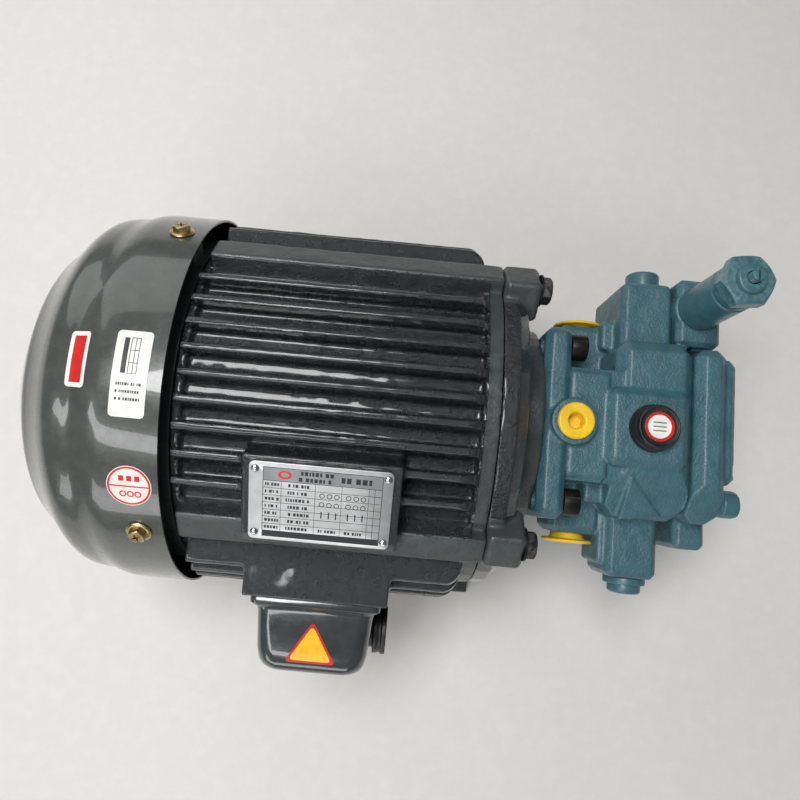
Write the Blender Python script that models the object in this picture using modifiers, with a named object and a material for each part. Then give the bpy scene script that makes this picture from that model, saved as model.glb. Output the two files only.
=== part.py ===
"""Electric motor and axial piston pump built as one unit.

A frame-112 induction motor drives a variable axial piston pump that is flanged to it and
hangs on the same shaft.  All dimensions below are in millimetres and MM turns them into
Blender's metres.  They are written in the unit's own axes: X runs along the shaft from the
fan cowl (-X) to the pump (+X) with its zero at the open rim of the cowl, Z is up, and zero
height is the shaft's centre line.  Every object hangs on one empty, which puts the middle of
the unit over the world's origin and the soles of the feet at Z = 0.
"""

import math

import bmesh
import bpy
from mathutils import Vector

MM = 0.001
TAU = 2.0 * math.pi
GAP = 0.3

# Motor: the frame size 112M gives the shaft height and the foot pattern.
SHAFT_HEIGHT = 112.0
FOOT_SPACING_Y = 190.0
FOOT_SPACING_X = 140.0
FOOT_HOLE_R = 6.0
FOOT_FIRST_X = 15.0
FOOT_THICKNESS = 12.0

FRAME_BORE_R = 87.5
FRAME_BARREL_R = 94.0
FIN_TIP_R = 107.0
RIB_TOP_R = 105.0
FRAME_START_X = 0.3
FIN_START_X = 4.0
FIN_END_X = 152.0
FRAME_END_X = 159.7
FIN_PITCH = 12.8
FIN_COUNT = 9
FIN_TIP_WIDTH = 3.4
FIN_ROOT_WIDTH = 5.6
RIB_HALF_ANGLE = math.radians(4.8)
BOLT_CIRCLE_R = 93.5
CORNER_ANGLES = [math.radians(45 + 90 * corner) for corner in range(4)]

COWL_R = 110.0
COWL_THICKNESS = 1.5
COWL_END_X = -102.5
COWL_SCREW_X = -12.6
AIR_SLOTS = 8

NECK_R = 61.0
BRACKET_FACE_X = 160.0
BRACKET_LUG_END_X = 180.0

BEARING_R = 36.0
BEARING_BORE_R = 15.0
BEARING_WIDTH = 19.0
FRONT_BEARING_X = 161.5
REAR_BEARING_X = -26.5
BALL_PITCH_R = 25.5
BALL_R = 5.2
BALL_COUNT = 7

STATOR_START_X = 28.0
STATOR_END_X = 128.0
STATOR_BORE_R = 55.0
ROTOR_R = 54.2
ROTOR_SHAFT_R = 20.0

PLATE_CENTRE = (77.0, -56.5, 95.0)
PLATE_PAD_SIZE = (76.0, 46.0, 20.0)
PLATE_TILT = math.radians(27)

BOX_X = (40.0, 110.0)
BOX_Z = (-42.0, 48.0)
BOX_FACE_Y = -108.8
BOX_END_Y = -149.0

# Pump: flange, casing and rotating group.
FLANGE_X = (189.3, 205.0)
FLANGE_HALF = 54.0
FLANGE_BOLT_YZ = 44.0
PORT_X = 221.0
PORT_R = 10.0
PORT_FACE_Y = {"upper": 66.0, "lower": -62.0}
DRAIN_X = 207.0
DRAIN_FACE_Z = 57.0
CASE_X = (232.0, 277.0)
CASE_HALF = 50.0
CAVITY_R = 38.0
COVER_X = (277.3, 303.5)
COVER_STEP_X = 295.5
COVER_PLUG_END_X = 311.5

VALVE_PLATE_X = (229.3, 232.0)
BARREL_X = (232.3, 257.0)
BARREL_R = 29.0
PISTON_COUNT = 7
PISTON_CIRCLE_R = 19.0
PISTON_R = 4.6
PISTON_BORE_R = 5.0
SHOE_FACE_X = 268.0
SWASH_X = (268.4, 275.5)
SWASH_R = 33.0
SWASH_PIVOT = (272.0, 30.0)
CONTROL_Y = 43.0

CAP_CENTRE = (250.0, 0.0)
PAD_TOP_Z = 55.0

COMP_CENTRE = (282.5, 76.0)
COMP_BLOCK_X = (269.6, 296.0)
COMP_BLOCK_Y = (53.0, 94.0)
COMP_BLOCK_Z = (-18.0, 38.0)
COMP_TOP_Z = 101.0

# The unit's overall ends, which fix where its middle lies.
UNIT_X = (COWL_END_X, COVER_PLUG_END_X)
UNIT_Y = (BOX_END_Y, 118.0)

ALONG_X = (0.0, math.radians(90), 0.0)
ALONG_Y = (math.radians(-90), 0.0, 0.0)
ALONG_Z = (0.0, 0.0, 0.0)
SECTION_ALONG_X = (math.radians(90), 0.0, math.radians(90))


# ---------------------------------------------------------------- scene helpers
def clear_scene():
    for old in list(bpy.data.objects):
        bpy.data.objects.remove(old, do_unlink=True)


def new_collection(name):
    collection = bpy.data.collections.new(name)
    bpy.context.scene.collection.children.link(collection)
    return collection


clear_scene()
PARTS = new_collection("motor_pump_unit")
CUTTERS = new_collection("cutters")
UNIT = bpy.data.objects.new("unit_datum", None)
UNIT.location = (-sum(UNIT_X) / 2 * MM, -sum(UNIT_Y) / 2 * MM, SHAFT_HEIGHT * MM)
PARTS.objects.link(UNIT)


def paint(name, colour, roughness, metallic):
    material = bpy.data.materials.new(name)
    material.use_nodes = True
    shader = material.node_tree.nodes["Principled BSDF"]
    shader.inputs["Base Color"].default_value = (*colour, 1.0)
    shader.inputs["Roughness"].default_value = roughness
    shader.inputs["Metallic"].default_value = metallic
    return material


FRAME_PAINT = paint("frame_paint", (0.035, 0.04, 0.042), 0.45, 0.0)
COWL_PAINT = paint("cowl_paint", (0.09, 0.1, 0.1), 0.25, 0.0)
PUMP_PAINT = paint("pump_paint", (0.05, 0.13, 0.155), 0.42, 0.0)
DARK_STEEL = paint("dark_steel", (0.03, 0.03, 0.032), 0.4, 0.8)
BRIGHT_STEEL = paint("bright_steel", (0.6, 0.6, 0.6), 0.3, 1.0)
ZINC = paint("gold_zinc", (0.6, 0.47, 0.22), 0.35, 1.0)
ALUMINIUM = paint("aluminium", (0.75, 0.75, 0.74), 0.4, 1.0)
COPPER = paint("copper_winding", (0.55, 0.22, 0.08), 0.5, 0.8)
BRONZE = paint("bronze", (0.5, 0.33, 0.14), 0.4, 1.0)
LAMINATION = paint("lamination", (0.3, 0.3, 0.32), 0.5, 0.9)
YELLOW = paint("yellow_plastic", (0.85, 0.6, 0.02), 0.35, 0.0)
RUBBER = paint("black_rubber", (0.01, 0.01, 0.01), 0.5, 0.0)
FAN_PLASTIC = paint("fan_plastic", (0.04, 0.04, 0.04), 0.5, 0.0)
BOARD = paint("board_plastic", (0.3, 0.13, 0.06), 0.5, 0.0)


def add(name, mesh, material, location=(0, 0, 0), rotation=(0, 0, 0)):
    """Put a mesh in the unit; a piece without a material is a hidden cutter."""
    piece = bpy.data.objects.new(name, mesh)
    piece.parent = UNIT
    piece.location = Vector(location) * MM
    piece.rotation_euler = rotation
    if material is None:
        CUTTERS.objects.link(piece)
        piece.hide_render = True
        piece.display_type = "WIRE"
    else:
        PARTS.objects.link(piece)
        mesh.materials.append(material)
    return piece


def smooth(piece, degrees=35):
    piece.data.shade_smooth()
    piece.data.set_sharp_from_angle(angle=math.radians(degrees))


def box(name, low, high, material=None):
    size = [(b - a) * MM for a, b in zip(low, high)]
    work = bmesh.new()
    bmesh.ops.create_cube(work, size=1.0)
    bmesh.ops.scale(work, vec=size, verts=work.verts)
    mesh = bpy.data.meshes.new(name)
    work.to_mesh(mesh)
    work.free()
    return add(name, mesh, material, [(a + b) / 2 for a, b in zip(low, high)])


def block(name, size, centre, tilt=0.0, material=None):
    """A box placed by its centre and turned about X."""
    piece = box(name, [-s / 2 for s in size], [s / 2 for s in size], material)
    piece.location = Vector(centre) * MM
    piece.rotation_euler = (tilt, 0, 0)
    return piece


def radial_block(name, size, top_radius, angle, x):
    """A box whose top faces outwards from the shaft at an angle round it."""
    centre = polar(top_radius - size[2] / 2, angle, x)
    return block(name, size, centre, angle - math.radians(90))


def rod(name, radius, start, end, material=None, segments=32, end_radius=None):
    """A cylinder or cone from one point to another."""
    start, end = Vector(start), Vector(end)
    work = bmesh.new()
    bmesh.ops.create_cone(
        work,
        cap_ends=True,
        segments=segments,
        radius1=radius * MM,
        radius2=(radius if end_radius is None else end_radius) * MM,
        depth=(end - start).length * MM,
    )
    mesh = bpy.data.meshes.new(name)
    work.to_mesh(mesh)
    work.free()
    piece = add(name, mesh, material, (start + end) / 2)
    piece.rotation_euler = (end - start).to_track_quat("Z", "Y").to_euler()
    if segments > 8:
        smooth(piece)
    return piece


def turned(name, profile, material=None, location=(0, 0, 0), rotation=ALONG_X, steps=48, closed=True):
    """A turned shape; the profile is (radius, height) and runs down the outer side."""
    mesh = bpy.data.meshes.new(name)
    points = [(radius * MM, 0.0, height * MM) for radius, height in profile]
    count = len(points)
    edges = [(i, i + 1) for i in range(count - 1)]
    if closed:
        edges.append((count - 1, 0))
    mesh.from_pydata(points, edges, [])
    piece = add(name, mesh, material, location, rotation)
    screw = piece.modifiers.new("turn", "SCREW")
    screw.angle = TAU
    screw.steps = steps
    screw.render_steps = steps
    screw.use_merge_vertices = True
    screw.merge_threshold = 0.00001
    screw.use_smooth_shade = False
    return piece


def section(name, points, thickness, material=None, location=(0, 0, 0), rotation=SECTION_ALONG_X):
    """A flat outline with thickness; its local Z is the direction of the thickness."""
    curve = bpy.data.curves.new(name + "_outline", "CURVE")
    curve.dimensions = "2D"
    curve.fill_mode = "BOTH"
    curve.extrude = thickness / 2 * MM
    spline = curve.splines.new("POLY")
    spline.points.add(len(points) - 1)
    for point, (u, v) in zip(spline.points, points):
        point.co = (u * MM, v * MM, 0.0, 1.0)
    spline.use_cyclic_u = True
    source = bpy.data.objects.new(name + "_outline", curve)
    CUTTERS.objects.link(source)
    graph = bpy.context.evaluated_depsgraph_get()
    mesh = bpy.data.meshes.new_from_object(source.evaluated_get(graph))
    bpy.data.objects.remove(source, do_unlink=True)
    work = bmesh.new()
    work.from_mesh(mesh)
    bmesh.ops.remove_doubles(work, verts=work.verts, dist=0.000001)
    work.to_mesh(mesh)
    work.free()
    mesh.name = name
    return add(name, mesh, material, location, rotation)


def combine(piece, tool, operation):
    step = piece.modifiers.new(operation.lower(), "BOOLEAN")
    step.operation = operation
    step.object = tool
    return piece


def join(piece, *tools):
    for tool in tools:
        combine(piece, tool, "UNION")
    return piece


def cut(piece, *tools):
    for tool in tools:
        combine(piece, tool, "DIFFERENCE")
    return piece


def soften(piece, width, segments=2, degrees=40):
    bevel = piece.modifiers.new("soften", "BEVEL")
    bevel.width = width * MM
    bevel.segments = segments
    bevel.limit_method = "ANGLE"
    bevel.angle_limit = math.radians(degrees)
    return piece


def arc(radius, start, end, count, centre=(0.0, 0.0)):
    """Points on an arc from one angle to another, in the section's own plane."""
    angles = [start + (end - start) * i / (count - 1) for i in range(count)]
    return [(centre[0] + radius * math.cos(a), centre[1] + radius * math.sin(a)) for a in angles]


def polar(radius, angle, x):
    """A point at an angle round the shaft, measured from +Y towards +Z."""
    return (x, radius * math.cos(angle), radius * math.sin(angle))


def plate_point(height):
    """A point above or below the middle of the tilted pad that carries the nameplate."""
    x, y, z = PLATE_CENTRE
    return (x, y - height * math.sin(PLATE_TILT), z + height * math.cos(PLATE_TILT))


def kidney(name, radii, half_angle, x_range, middle, count=7):
    """A cutter for a curved slot round the shaft."""
    inner = arc(radii[0], middle - half_angle, middle + half_angle, count)
    outer = arc(radii[1], middle + half_angle, middle - half_angle, count)
    x_mid = (x_range[0] + x_range[1]) / 2
    return section(name, inner + outer, x_range[1] - x_range[0], None, (x_mid, 0, 0))


def coil(name, radius, wire_r, start, end, turns, material, per_turn=8):
    """A round-wire spring along one axis, with its ends cut off square by closed caps."""
    start, end = Vector(start), Vector(end)
    length = (end - start).length - 2 * wire_r
    curve = bpy.data.curves.new(name, "CURVE")
    curve.dimensions = "3D"
    curve.bevel_depth = wire_r * MM
    curve.bevel_resolution = 2
    curve.use_fill_caps = True
    spline = curve.splines.new("POLY")
    count = int(turns * per_turn) + 1
    spline.points.add(count - 1)
    for i, point in enumerate(spline.points):
        share = i / (count - 1)
        angle = share * turns * TAU
        height = wire_r + share * length
        point.co = (radius * math.cos(angle) * MM, radius * math.sin(angle) * MM, height * MM, 1.0)
    piece = bpy.data.objects.new(name, curve)
    piece.parent = UNIT
    piece.location = start * MM
    piece.rotation_euler = (end - start).to_track_quat("Z", "Y").to_euler()
    PARTS.objects.link(piece)
    curve.materials.append(material)
    return piece


# ---------------------------------------------------------------- motor housing
def fin_outline():
    """The ribbed section of the frame: four corner ribs with straight fins between them."""
    points = []
    for corner in CORNER_ANGLES:
        normal = corner + math.radians(45)
        side = Vector((math.cos(normal), math.sin(normal)))
        along = Vector((-math.sin(normal), math.cos(normal)))
        rib_root = math.radians(6.2)
        for radius, angle in (
            (FRAME_BARREL_R, corner - rib_root),
            (RIB_TOP_R, corner - RIB_HALF_ANGLE),
            (RIB_TOP_R, corner + RIB_HALF_ANGLE),
            (FRAME_BARREL_R, corner + rib_root),
        ):
            points.append((radius * math.cos(angle), radius * math.sin(angle)))
        middle = (FIN_COUNT - 1) / 2
        for index in range(FIN_COUNT):
            offset = (index - middle) * FIN_PITCH
            for radius, half in (
                (FRAME_BARREL_R, -FIN_ROOT_WIDTH / 2),
                (FIN_TIP_R, -FIN_TIP_WIDTH / 2),
                (FIN_TIP_R, FIN_TIP_WIDTH / 2),
                (FRAME_BARREL_R, FIN_ROOT_WIDTH / 2),
            ):
                across = offset + half
                out = math.sqrt(radius**2 - across**2)
                spot = side * out + along * across
                points.append((spot.x, spot.y))
    return points


def foot(index, x_mid, side):
    """One foot of the frame: a pad on the floor and a web that rises to the barrel."""
    half_length = 20.0
    sole = -SHAFT_HEIGHT
    y_in, y_out = 66.0, UNIT_Y[1]
    pad = box(
        f"foot_pad_{index}",
        (x_mid - half_length, min(side * y_in, side * y_out), sole),
        (x_mid + half_length, max(side * y_in, side * y_out), sole + FOOT_THICKNESS),
    )
    web = box(
        f"foot_web_{index}",
        (max(x_mid - 14.0, FIN_START_X + 2), min(side * y_in, side * 82.0), sole + 4),
        (min(x_mid + 14.0, FRAME_END_X - 1), max(side * y_in, side * 82.0), -50.0),
    )
    hole = rod(
        f"foot_hole_{index}",
        FOOT_HOLE_R,
        (x_mid, side * FOOT_SPACING_Y / 2, sole - 5),
        (x_mid, side * FOOT_SPACING_Y / 2, sole + FOOT_THICKNESS + 5),
        segments=12,
    )
    return pad, web, hole


def motor_frame():
    length = FIN_END_X - FIN_START_X
    frame = section(
        "motor_frame", fin_outline(), length, FRAME_PAINT, ((FIN_START_X + FIN_END_X) / 2, 0, 0)
    )
    rear_ring = rod("frame_rear_ring", 97.0, (FRAME_START_X, 0, 0), (FIN_START_X + 1, 0, 0), segments=48)
    front_ring = rod("frame_front_ring", 97.0, (FIN_END_X - 1, 0, 0), (FRAME_END_X, 0, 0), segments=48)
    join(frame, rear_ring, front_ring)
    for index, angle in enumerate(CORNER_ANGLES):
        join(frame, radial_block(f"frame_lug_{index}", (8.2, 16.8, 18.0), 104.6, angle, 155.5))
    holes = []
    index = 0
    for x_mid in (FOOT_FIRST_X, FOOT_FIRST_X + FOOT_SPACING_X):
        for side in (-1, 1):
            pad, web, hole = foot(index, x_mid, side)
            join(frame, pad, web)
            holes.append(hole)
            index += 1
    terminal_pad = box(
        "terminal_pad",
        (BOX_X[0] - 4, BOX_FACE_Y + GAP, BOX_Z[0] - 5),
        (BOX_X[1] + 4, -70.0, BOX_Z[1] + 5),
    )
    plate_pad = block("plate_pad", PLATE_PAD_SIZE, plate_point(-PLATE_PAD_SIZE[2] / 2), PLATE_TILT)
    join(frame, terminal_pad, plate_pad)
    bore = rod("frame_bore", FRAME_BORE_R, (-5, 0, 0), (165, 0, 0), segments=48)
    window = box("lead_window", (60.0, -110.0, -18.0), (90.0, -80.0, 18.0))
    cut(frame, bore, window, *holes)
    for index, angle in enumerate(CORNER_ANGLES):
        hole = rod(
            f"frame_bolt_hole_{index}",
            4.3,
            polar(BOLT_CIRCLE_R + 2.5, angle, 142.0),
            polar(BOLT_CIRCLE_R + 2.5, angle, 165.0),
            segments=8,
        )
        cut(frame, hole)
    return frame


def drive_end_bracket():
    profile = [
        (NECK_R, 189.0), (NECK_R, 178.5), (90.0, 174.5), (96.5, 168.0), (96.5, BRACKET_FACE_X),
        (85.0, BRACKET_FACE_X), (83.0, 165.0), (47.0, 168.0), (47.0, 161.0), (36.2, 161.0),
        (36.2, 181.0), (24.0, 181.0), (24.0, 189.0),
    ]
    bracket = turned("drive_end_bracket", profile, FRAME_PAINT, steps=40)
    for index, angle in enumerate(CORNER_ANGLES):
        lug = radial_block(f"bracket_lug_{index}", (20.0, 22.0, 23.0), 104.5, angle, 170.0)
        soften(lug, 2.0, 1)
        hole = rod(
            f"bracket_bolt_hole_{index}",
            4.3,
            polar(BOLT_CIRCLE_R + 2.5, angle, 155.0),
            polar(BOLT_CIRCLE_R + 2.5, angle, 190.0),
            segments=8,
        )
        join(bracket, lug)
        cut(bracket, hole)
    return bracket


def rear_end_bracket():
    profile = [
        (97.0, 0.0), (97.0, -12.0), (60.0, -15.0), (45.0, -30.5), (17.0, -30.5), (17.0, -27.0),
        (36.2, -27.0), (36.2, -6.5), (60.0, -6.5), (86.0, 0.0),
    ]
    bracket = turned("rear_end_bracket", profile, FRAME_PAINT, steps=36)
    for index, angle in enumerate(CORNER_ANGLES):
        lug = radial_block(f"cowl_lug_{index}", (14.0, 18.0, 25.0), 107.2, angle, COWL_SCREW_X)
        hole = rod(
            f"cowl_lug_hole_{index}",
            2.9,
            polar(92.0, angle, COWL_SCREW_X),
            polar(112.0, angle, COWL_SCREW_X),
            segments=8,
        )
        join(bracket, lug)
        cut(bracket, hole)
    return bracket


def fan_cowl():
    """Pressed steel shell with a rolled step, a domed shoulder and slots for the air."""
    profile = [
        (COWL_R, -0.5), (COWL_R, -37.0), (106.8, -43.0), (105.4, -55.0), (86.5, -76.0),
        (80.5, -80.0), (58.5, -94.5), (43.0, -100.5), (0.0, COWL_END_X),
    ]
    cowl = turned("fan_cowl", profile, COWL_PAINT, steps=36, closed=False)
    shell = cowl.modifiers.new("sheet", "SOLIDIFY")
    shell.thickness = COWL_THICKNESS * MM
    shell.offset = -1.0
    for index in range(AIR_SLOTS):
        angle = TAU * (index + 0.5) / AIR_SLOTS
        cut(cowl, radial_block(f"air_slot_{index}", (24.0, 8.0, 21.0), 42.0, angle, COWL_END_X))
    for index, angle in enumerate(CORNER_ANGLES):
        hole = rod(
            f"cowl_hole_{index}",
            2.9,
            polar(104.0, angle, COWL_SCREW_X),
            polar(114.0, angle, COWL_SCREW_X),
            segments=8,
        )
        cut(cowl, hole)
    return cowl


# ---------------------------------------------------------------- motor inner parts
def ring(name, outer, inner, x_range, material, steps=48):
    profile = [(outer, x_range[1]), (outer, x_range[0]), (inner, x_range[0]), (inner, x_range[1])]
    return turned(name, profile, material, steps=steps)


def bearing(name, start_x, with_balls):
    """Deep-groove ball bearing: two grooved rings and, where shown, the ball set in its cage."""
    end_x = start_x + BEARING_WIDTH
    middle = start_x + BEARING_WIDTH / 2
    groove = BALL_R + 0.9
    outer = [(BEARING_R, end_x), (BEARING_R, start_x), (29.5, start_x), (29.5, middle - 4.6)]
    outer += [(BALL_PITCH_R + groove * math.cos(a), middle + groove * math.sin(a))
              for a in [math.radians(d) for d in (-40, 0, 40)]]
    outer += [(29.5, middle + 4.6), (29.5, end_x)]
    inner = [(21.5, end_x), (21.5, middle + 4.6)]
    inner += [(BALL_PITCH_R - groove * math.cos(a), middle + groove * math.sin(a))
              for a in [math.radians(d) for d in (40, 0, -40)]]
    inner += [(21.5, middle - 4.6), (21.5, start_x), (BEARING_BORE_R + 0.1, start_x)]
    inner += [(BEARING_BORE_R + 0.1, end_x)]
    turned(f"{name}_outer_ring", outer, BRIGHT_STEEL, steps=20)
    turned(f"{name}_inner_ring", inner, BRIGHT_STEEL, steps=20)
    if not with_balls:
        return
    cage = ring(f"{name}_ball_cage", 27.6, 23.4, (middle - 2.2, middle + 2.2), BRONZE, 24)
    for index in range(BALL_COUNT):
        angle = TAU * index / BALL_COUNT
        work = bmesh.new()
        bmesh.ops.create_uvsphere(work, u_segments=8, v_segments=6, radius=BALL_R * MM)
        mesh = bpy.data.meshes.new(f"ball_{index}")
        work.to_mesh(mesh)
        work.free()
        join(cage, add(f"ball_{index}", mesh, None, polar(BALL_PITCH_R, angle, middle)))


def shaft():
    profile = [
        (0.0, 250.0), (8.8, 250.0), (8.8, 230.0), (11.5, 228.0), (11.5, 182.0), (15.0, 180.5),
        (15.0, 161.0), (ROTOR_SHAFT_R, 160.0), (ROTOR_SHAFT_R, -6.5), (15.0, -7.2),
        (15.0, -27.0), (11.0, -32.0), (11.0, -62.0), (0.0, -62.0),
    ]
    return turned("drive_shaft", profile, BRIGHT_STEEL, steps=20, closed=False)


def rotor():
    """Rotor stack with the cast rings of its squirrel cage at both ends."""
    start, end = STATOR_START_X, STATOR_END_X
    bore = ROTOR_SHAFT_R + 0.2
    profile = [
        (30.0, end + 10), (52.0, end + 10), (52.0, end), (ROTOR_R, end), (ROTOR_R, start),
        (52.0, start), (52.0, start - 10), (30.0, start - 10), (30.0, start), (bore, start),
        (bore, end), (30.0, end),
    ]
    return turned("rotor_core", profile, LAMINATION, steps=20)


def winding(name, face_x, outward):
    """End winding: the bundle of coils that bulges out of the stator's end."""
    far = face_x + outward * 24.0
    near = face_x + outward * GAP
    low, high = min(far, near), max(far, near)
    profile = [
        (78.0, high), (83.0, high - 6), (83.0, low + 2), (60.0, low), (60.0, high - 5),
        (65.0, high),
    ]
    return turned(name, profile, COPPER, steps=28)


def fan():
    hub = [(20.0, -34.0), (20.0, -40.0), (86.0, -42.0), (86.0, -44.0), (20.0, -46.0),
           (20.0, -60.0), (11.3, -60.0), (11.3, -34.0)]
    wheel = turned("cooling_fan", hub, FAN_PLASTIC, steps=20)
    for index in range(8):
        angle = TAU * index / 8
        join(wheel, radial_block(f"blade_{index}", (24.0, 2.4, 66.0), 85.0, angle, -55.0))
    return wheel


# ---------------------------------------------------------------- terminal box and plate
def terminal_box():
    """Pressed cover, open towards the frame, with a lip that sits on the cast pad."""
    x0, x1 = BOX_X
    z0, z1 = BOX_Z
    wall = 2.0
    face = BOX_FACE_Y
    cover = box("terminal_box_cover", (x0 + 3, BOX_END_Y, z0 + 3), (x1 - 3, face - 1, z1 - 3), FRAME_PAINT)
    soften(cover, 7.0, 2)
    lip = box("cover_lip", (x0, face - 6.0, z0), (x1, face, z1))
    hollow = box("cover_hollow", (x0 + 6, BOX_END_Y + wall, z0 + 6), (x1 - 6, face + 5, z1 - 6))
    entry_y, entry_z = face - 20.0, 6.0
    entry = rod("entry_hole", 10.4, (x1 - 15, entry_y, entry_z), (x1 + 5, entry_y, entry_z), segments=16)
    join(cover, lip)
    cut(cover, hollow, entry)
    bush_profile = [(13.5, x1 + 5), (13.5, x1 - 2.6), (10.0, x1 - 2.6), (10.0, x1 - 12),
                    (7.0, x1 - 12), (7.0, x1 + 5)]
    turned("cable_entry_bush", bush_profile, RUBBER, (0, entry_y, entry_z), steps=20)
    board = box("terminal_board", (x0 + 12, face - 8.0, -20.0), (x1 - 12, face, 24.0), BOARD)
    for column in range(3):
        for row in range(2):
            x = x0 + 21 + 14 * column
            z = -8 + 20 * row
            stud = rod(f"stud_{column}_{row}", 2.5, (x, face - 7.0, z), (x, face - 20.0, z), segments=6)
            join(board, stud)


def nameplate():
    thickness = 1.0
    return block(
        "nameplate", (68.0, 41.0, thickness), plate_point(GAP + thickness / 2), PLATE_TILT, ALUMINIUM
    )


# ---------------------------------------------------------------- fasteners
def hex_bolt(name, seat, direction, head_r, head_h, shank_r, shank_length, material):
    seat, direction = Vector(seat), Vector(direction).normalized()
    head = rod(name, head_r, seat + direction * 0.2, seat + direction * head_h, material, 6)
    start = seat - direction * shank_length
    join(head, rod(f"{name}_shank", shank_r, start, seat + direction * 2, segments=8))
    return head


def socket_screw(name, seat, direction, head_r, head_h, shank_r, shank_length, material):
    seat, direction = Vector(seat), Vector(direction).normalized()
    top = seat + direction * head_h
    head = rod(name, head_r, seat + direction * 0.2, top, material, 16)
    start = seat - direction * shank_length
    join(head, rod(f"{name}_shank", shank_r, start, seat + direction * 2, segments=8))
    cut(head, rod(f"{name}_socket", head_r * 0.5, top - direction * head_h * 0.5, top + direction * 2, segments=6))
    return head


def fasteners():
    for index, angle in enumerate(CORNER_ANGLES):
        seat = polar(BOLT_CIRCLE_R + 2.5, angle, BRACKET_LUG_END_X)
        hex_bolt(f"bracket_bolt_{index + 1}", seat, (1, 0, 0), 7.5, 6.5, 4.0, 37.0, DARK_STEEL)
        screw_seat = polar(COWL_R + 0.1, angle, COWL_SCREW_X)
        outward = (0, math.cos(angle), math.sin(angle))
        hex_bolt(f"cowl_screw_{index + 1}", screw_seat, outward, 5.0, 4.0, 2.5, 14.0, ZINC)
        y = math.copysign(FLANGE_BOLT_YZ, math.cos(angle))
        z = math.copysign(FLANGE_BOLT_YZ, math.sin(angle))
        flange_seat = (FLANGE_X[1], y, z)
        socket_screw(f"flange_screw_{index + 1}", flange_seat, (1, 0, 0), 7.5, 9.5, 4.8, 14.0, DARK_STEEL)


# ---------------------------------------------------------------- pump casing
def pump_housing():
    x0, x1 = CASE_X
    half = CASE_HALF
    housing = box("pump_housing", (x0, -half, -half), (x1, 52.0, half), PUMP_PAINT)
    soften(housing, 7.0, 1)
    flange = box("pump_flange", (FLANGE_X[0], -FLANGE_HALF, -FLANGE_HALF), (FLANGE_X[1], FLANGE_HALF, FLANGE_HALF))
    soften(flange, 4.0, 1)
    core = box("port_core", (FLANGE_X[0] + 4, -32.0, -48.0), (x0 + 6, 32.0, 48.0))
    cross = box("port_cross", (PORT_X - 16, PORT_FACE_Y["lower"], -17.0), (PORT_X + 16, PORT_FACE_Y["upper"], 17.0))
    soften(cross, 4.0, 1)
    drain = rod("drain_boss", 13.0, (DRAIN_X, 0, 40), (DRAIN_X, 0, DRAIN_FACE_Z), segments=20)
    pad = box("cap_pad", (226.0, -22.0, 40.0), (272.0, 22.0, PAD_TOP_Z))
    soften(pad, 4.0, 1)
    upper = box("upper_block", (238.0, 40.0, -22.0), (269.0, 91.0, 34.0))
    soften(upper, 3.0, 1)
    lower = box("lower_boss", (240.0, -85.0, -20.0), (270.0, -44.0, 20.0))
    soften(lower, 3.0, 1)
    join(housing, flange, core, cross, drain, pad, upper, lower)

    cavity = rod("case_cavity", CAVITY_R, (229.0, 0, 0), (290.0, 0, 0), segments=24)
    arm_room = box("arm_room", (263.0, 20.0, -12.0), (285.0, 49.0, 12.0))
    pin_room = rod("pin_room", 5.5, (*SWASH_PIVOT, -40.0), (*SWASH_PIVOT, 40.0), segments=16)
    bore = rod("shaft_bore", 12.4, (180, 0, 0), (235, 0, 0), segments=20)
    seal_seat = rod("seal_seat", 20.2, (180, 0, 0), (198, 0, 0), segments=24)
    piston_bore = rod("piston_bore", 5.4, (240.0, CONTROL_Y, 0), (266.0, CONTROL_Y, 0), segments=16)
    cut(housing, cavity, arm_room, pin_room, bore, seal_seat, piston_bore)
    for side, face in PORT_FACE_Y.items():
        sign = math.copysign(1.0, face)
        port = rod(f"port_{side}", PORT_R, (PORT_X, sign * 16, 0), (PORT_X, face + sign * 5, 0), segments=24)
        middle = 0.0 if sign > 0 else math.pi
        passage = kidney(f"passage_{side}", (15.5, 22.5), math.radians(50), (218.0, 231.0), middle)
        cut(housing, port, passage)
    cut(housing, rod("drain_hole", 6.0, (DRAIN_X, 0, 10), (DRAIN_X, 0, 65), segments=12))
    cut(housing, rod("cap_port", 5.0, (*CAP_CENTRE, 30), (*CAP_CENTRE, 60), segments=12))
    cut(housing, rod("upper_gallery", 7.4, (258, 62, 10), (258, 100, 10), segments=12))
    cut(housing, rod("lower_gallery", 9.4, (257, -66, 2), (257, -95, 2), segments=12))
    for index, angle in enumerate(CORNER_ANGLES):
        y = math.copysign(FLANGE_BOLT_YZ, math.cos(angle))
        z = math.copysign(FLANGE_BOLT_YZ, math.sin(angle))
        cut(housing, rod(f"flange_hole_{index}", 5.6, (185, y, z), (212, y, z), segments=8))
    return housing


def rear_cover():
    cover = box("pump_rear_cover", (COVER_X[0], -CASE_HALF, -CASE_HALF), (COVER_STEP_X, 50.0, CASE_HALF), PUMP_PAINT)
    soften(cover, 5.0, 1)
    boss = box("cover_boss", (285.0, -27.0, -42.0), (COVER_X[1], 46.0, 44.0))
    soften(boss, 4.0, 1)
    step = box("cover_step", (279.0, -65.5, -20.0), (298.0, -44.0, 20.0))
    soften(step, 3.0, 1)
    plug = rod("cover_plug", 7.8, (288.0, -37.0, 26.0), (COVER_PLUG_END_X, -37.0, 26.0), segments=20)
    join(cover, boss, step, plug)
    cavity = rod("cover_cavity", CAVITY_R, (270.0, 0, 0), (290.2, 0, 0), segments=24)
    spring_room = rod("spring_room", 6.4, (270.0, CONTROL_Y, 0), (291.0, CONTROL_Y, 0), segments=16)
    cut(cover, cavity, spring_room)
    return cover


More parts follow.
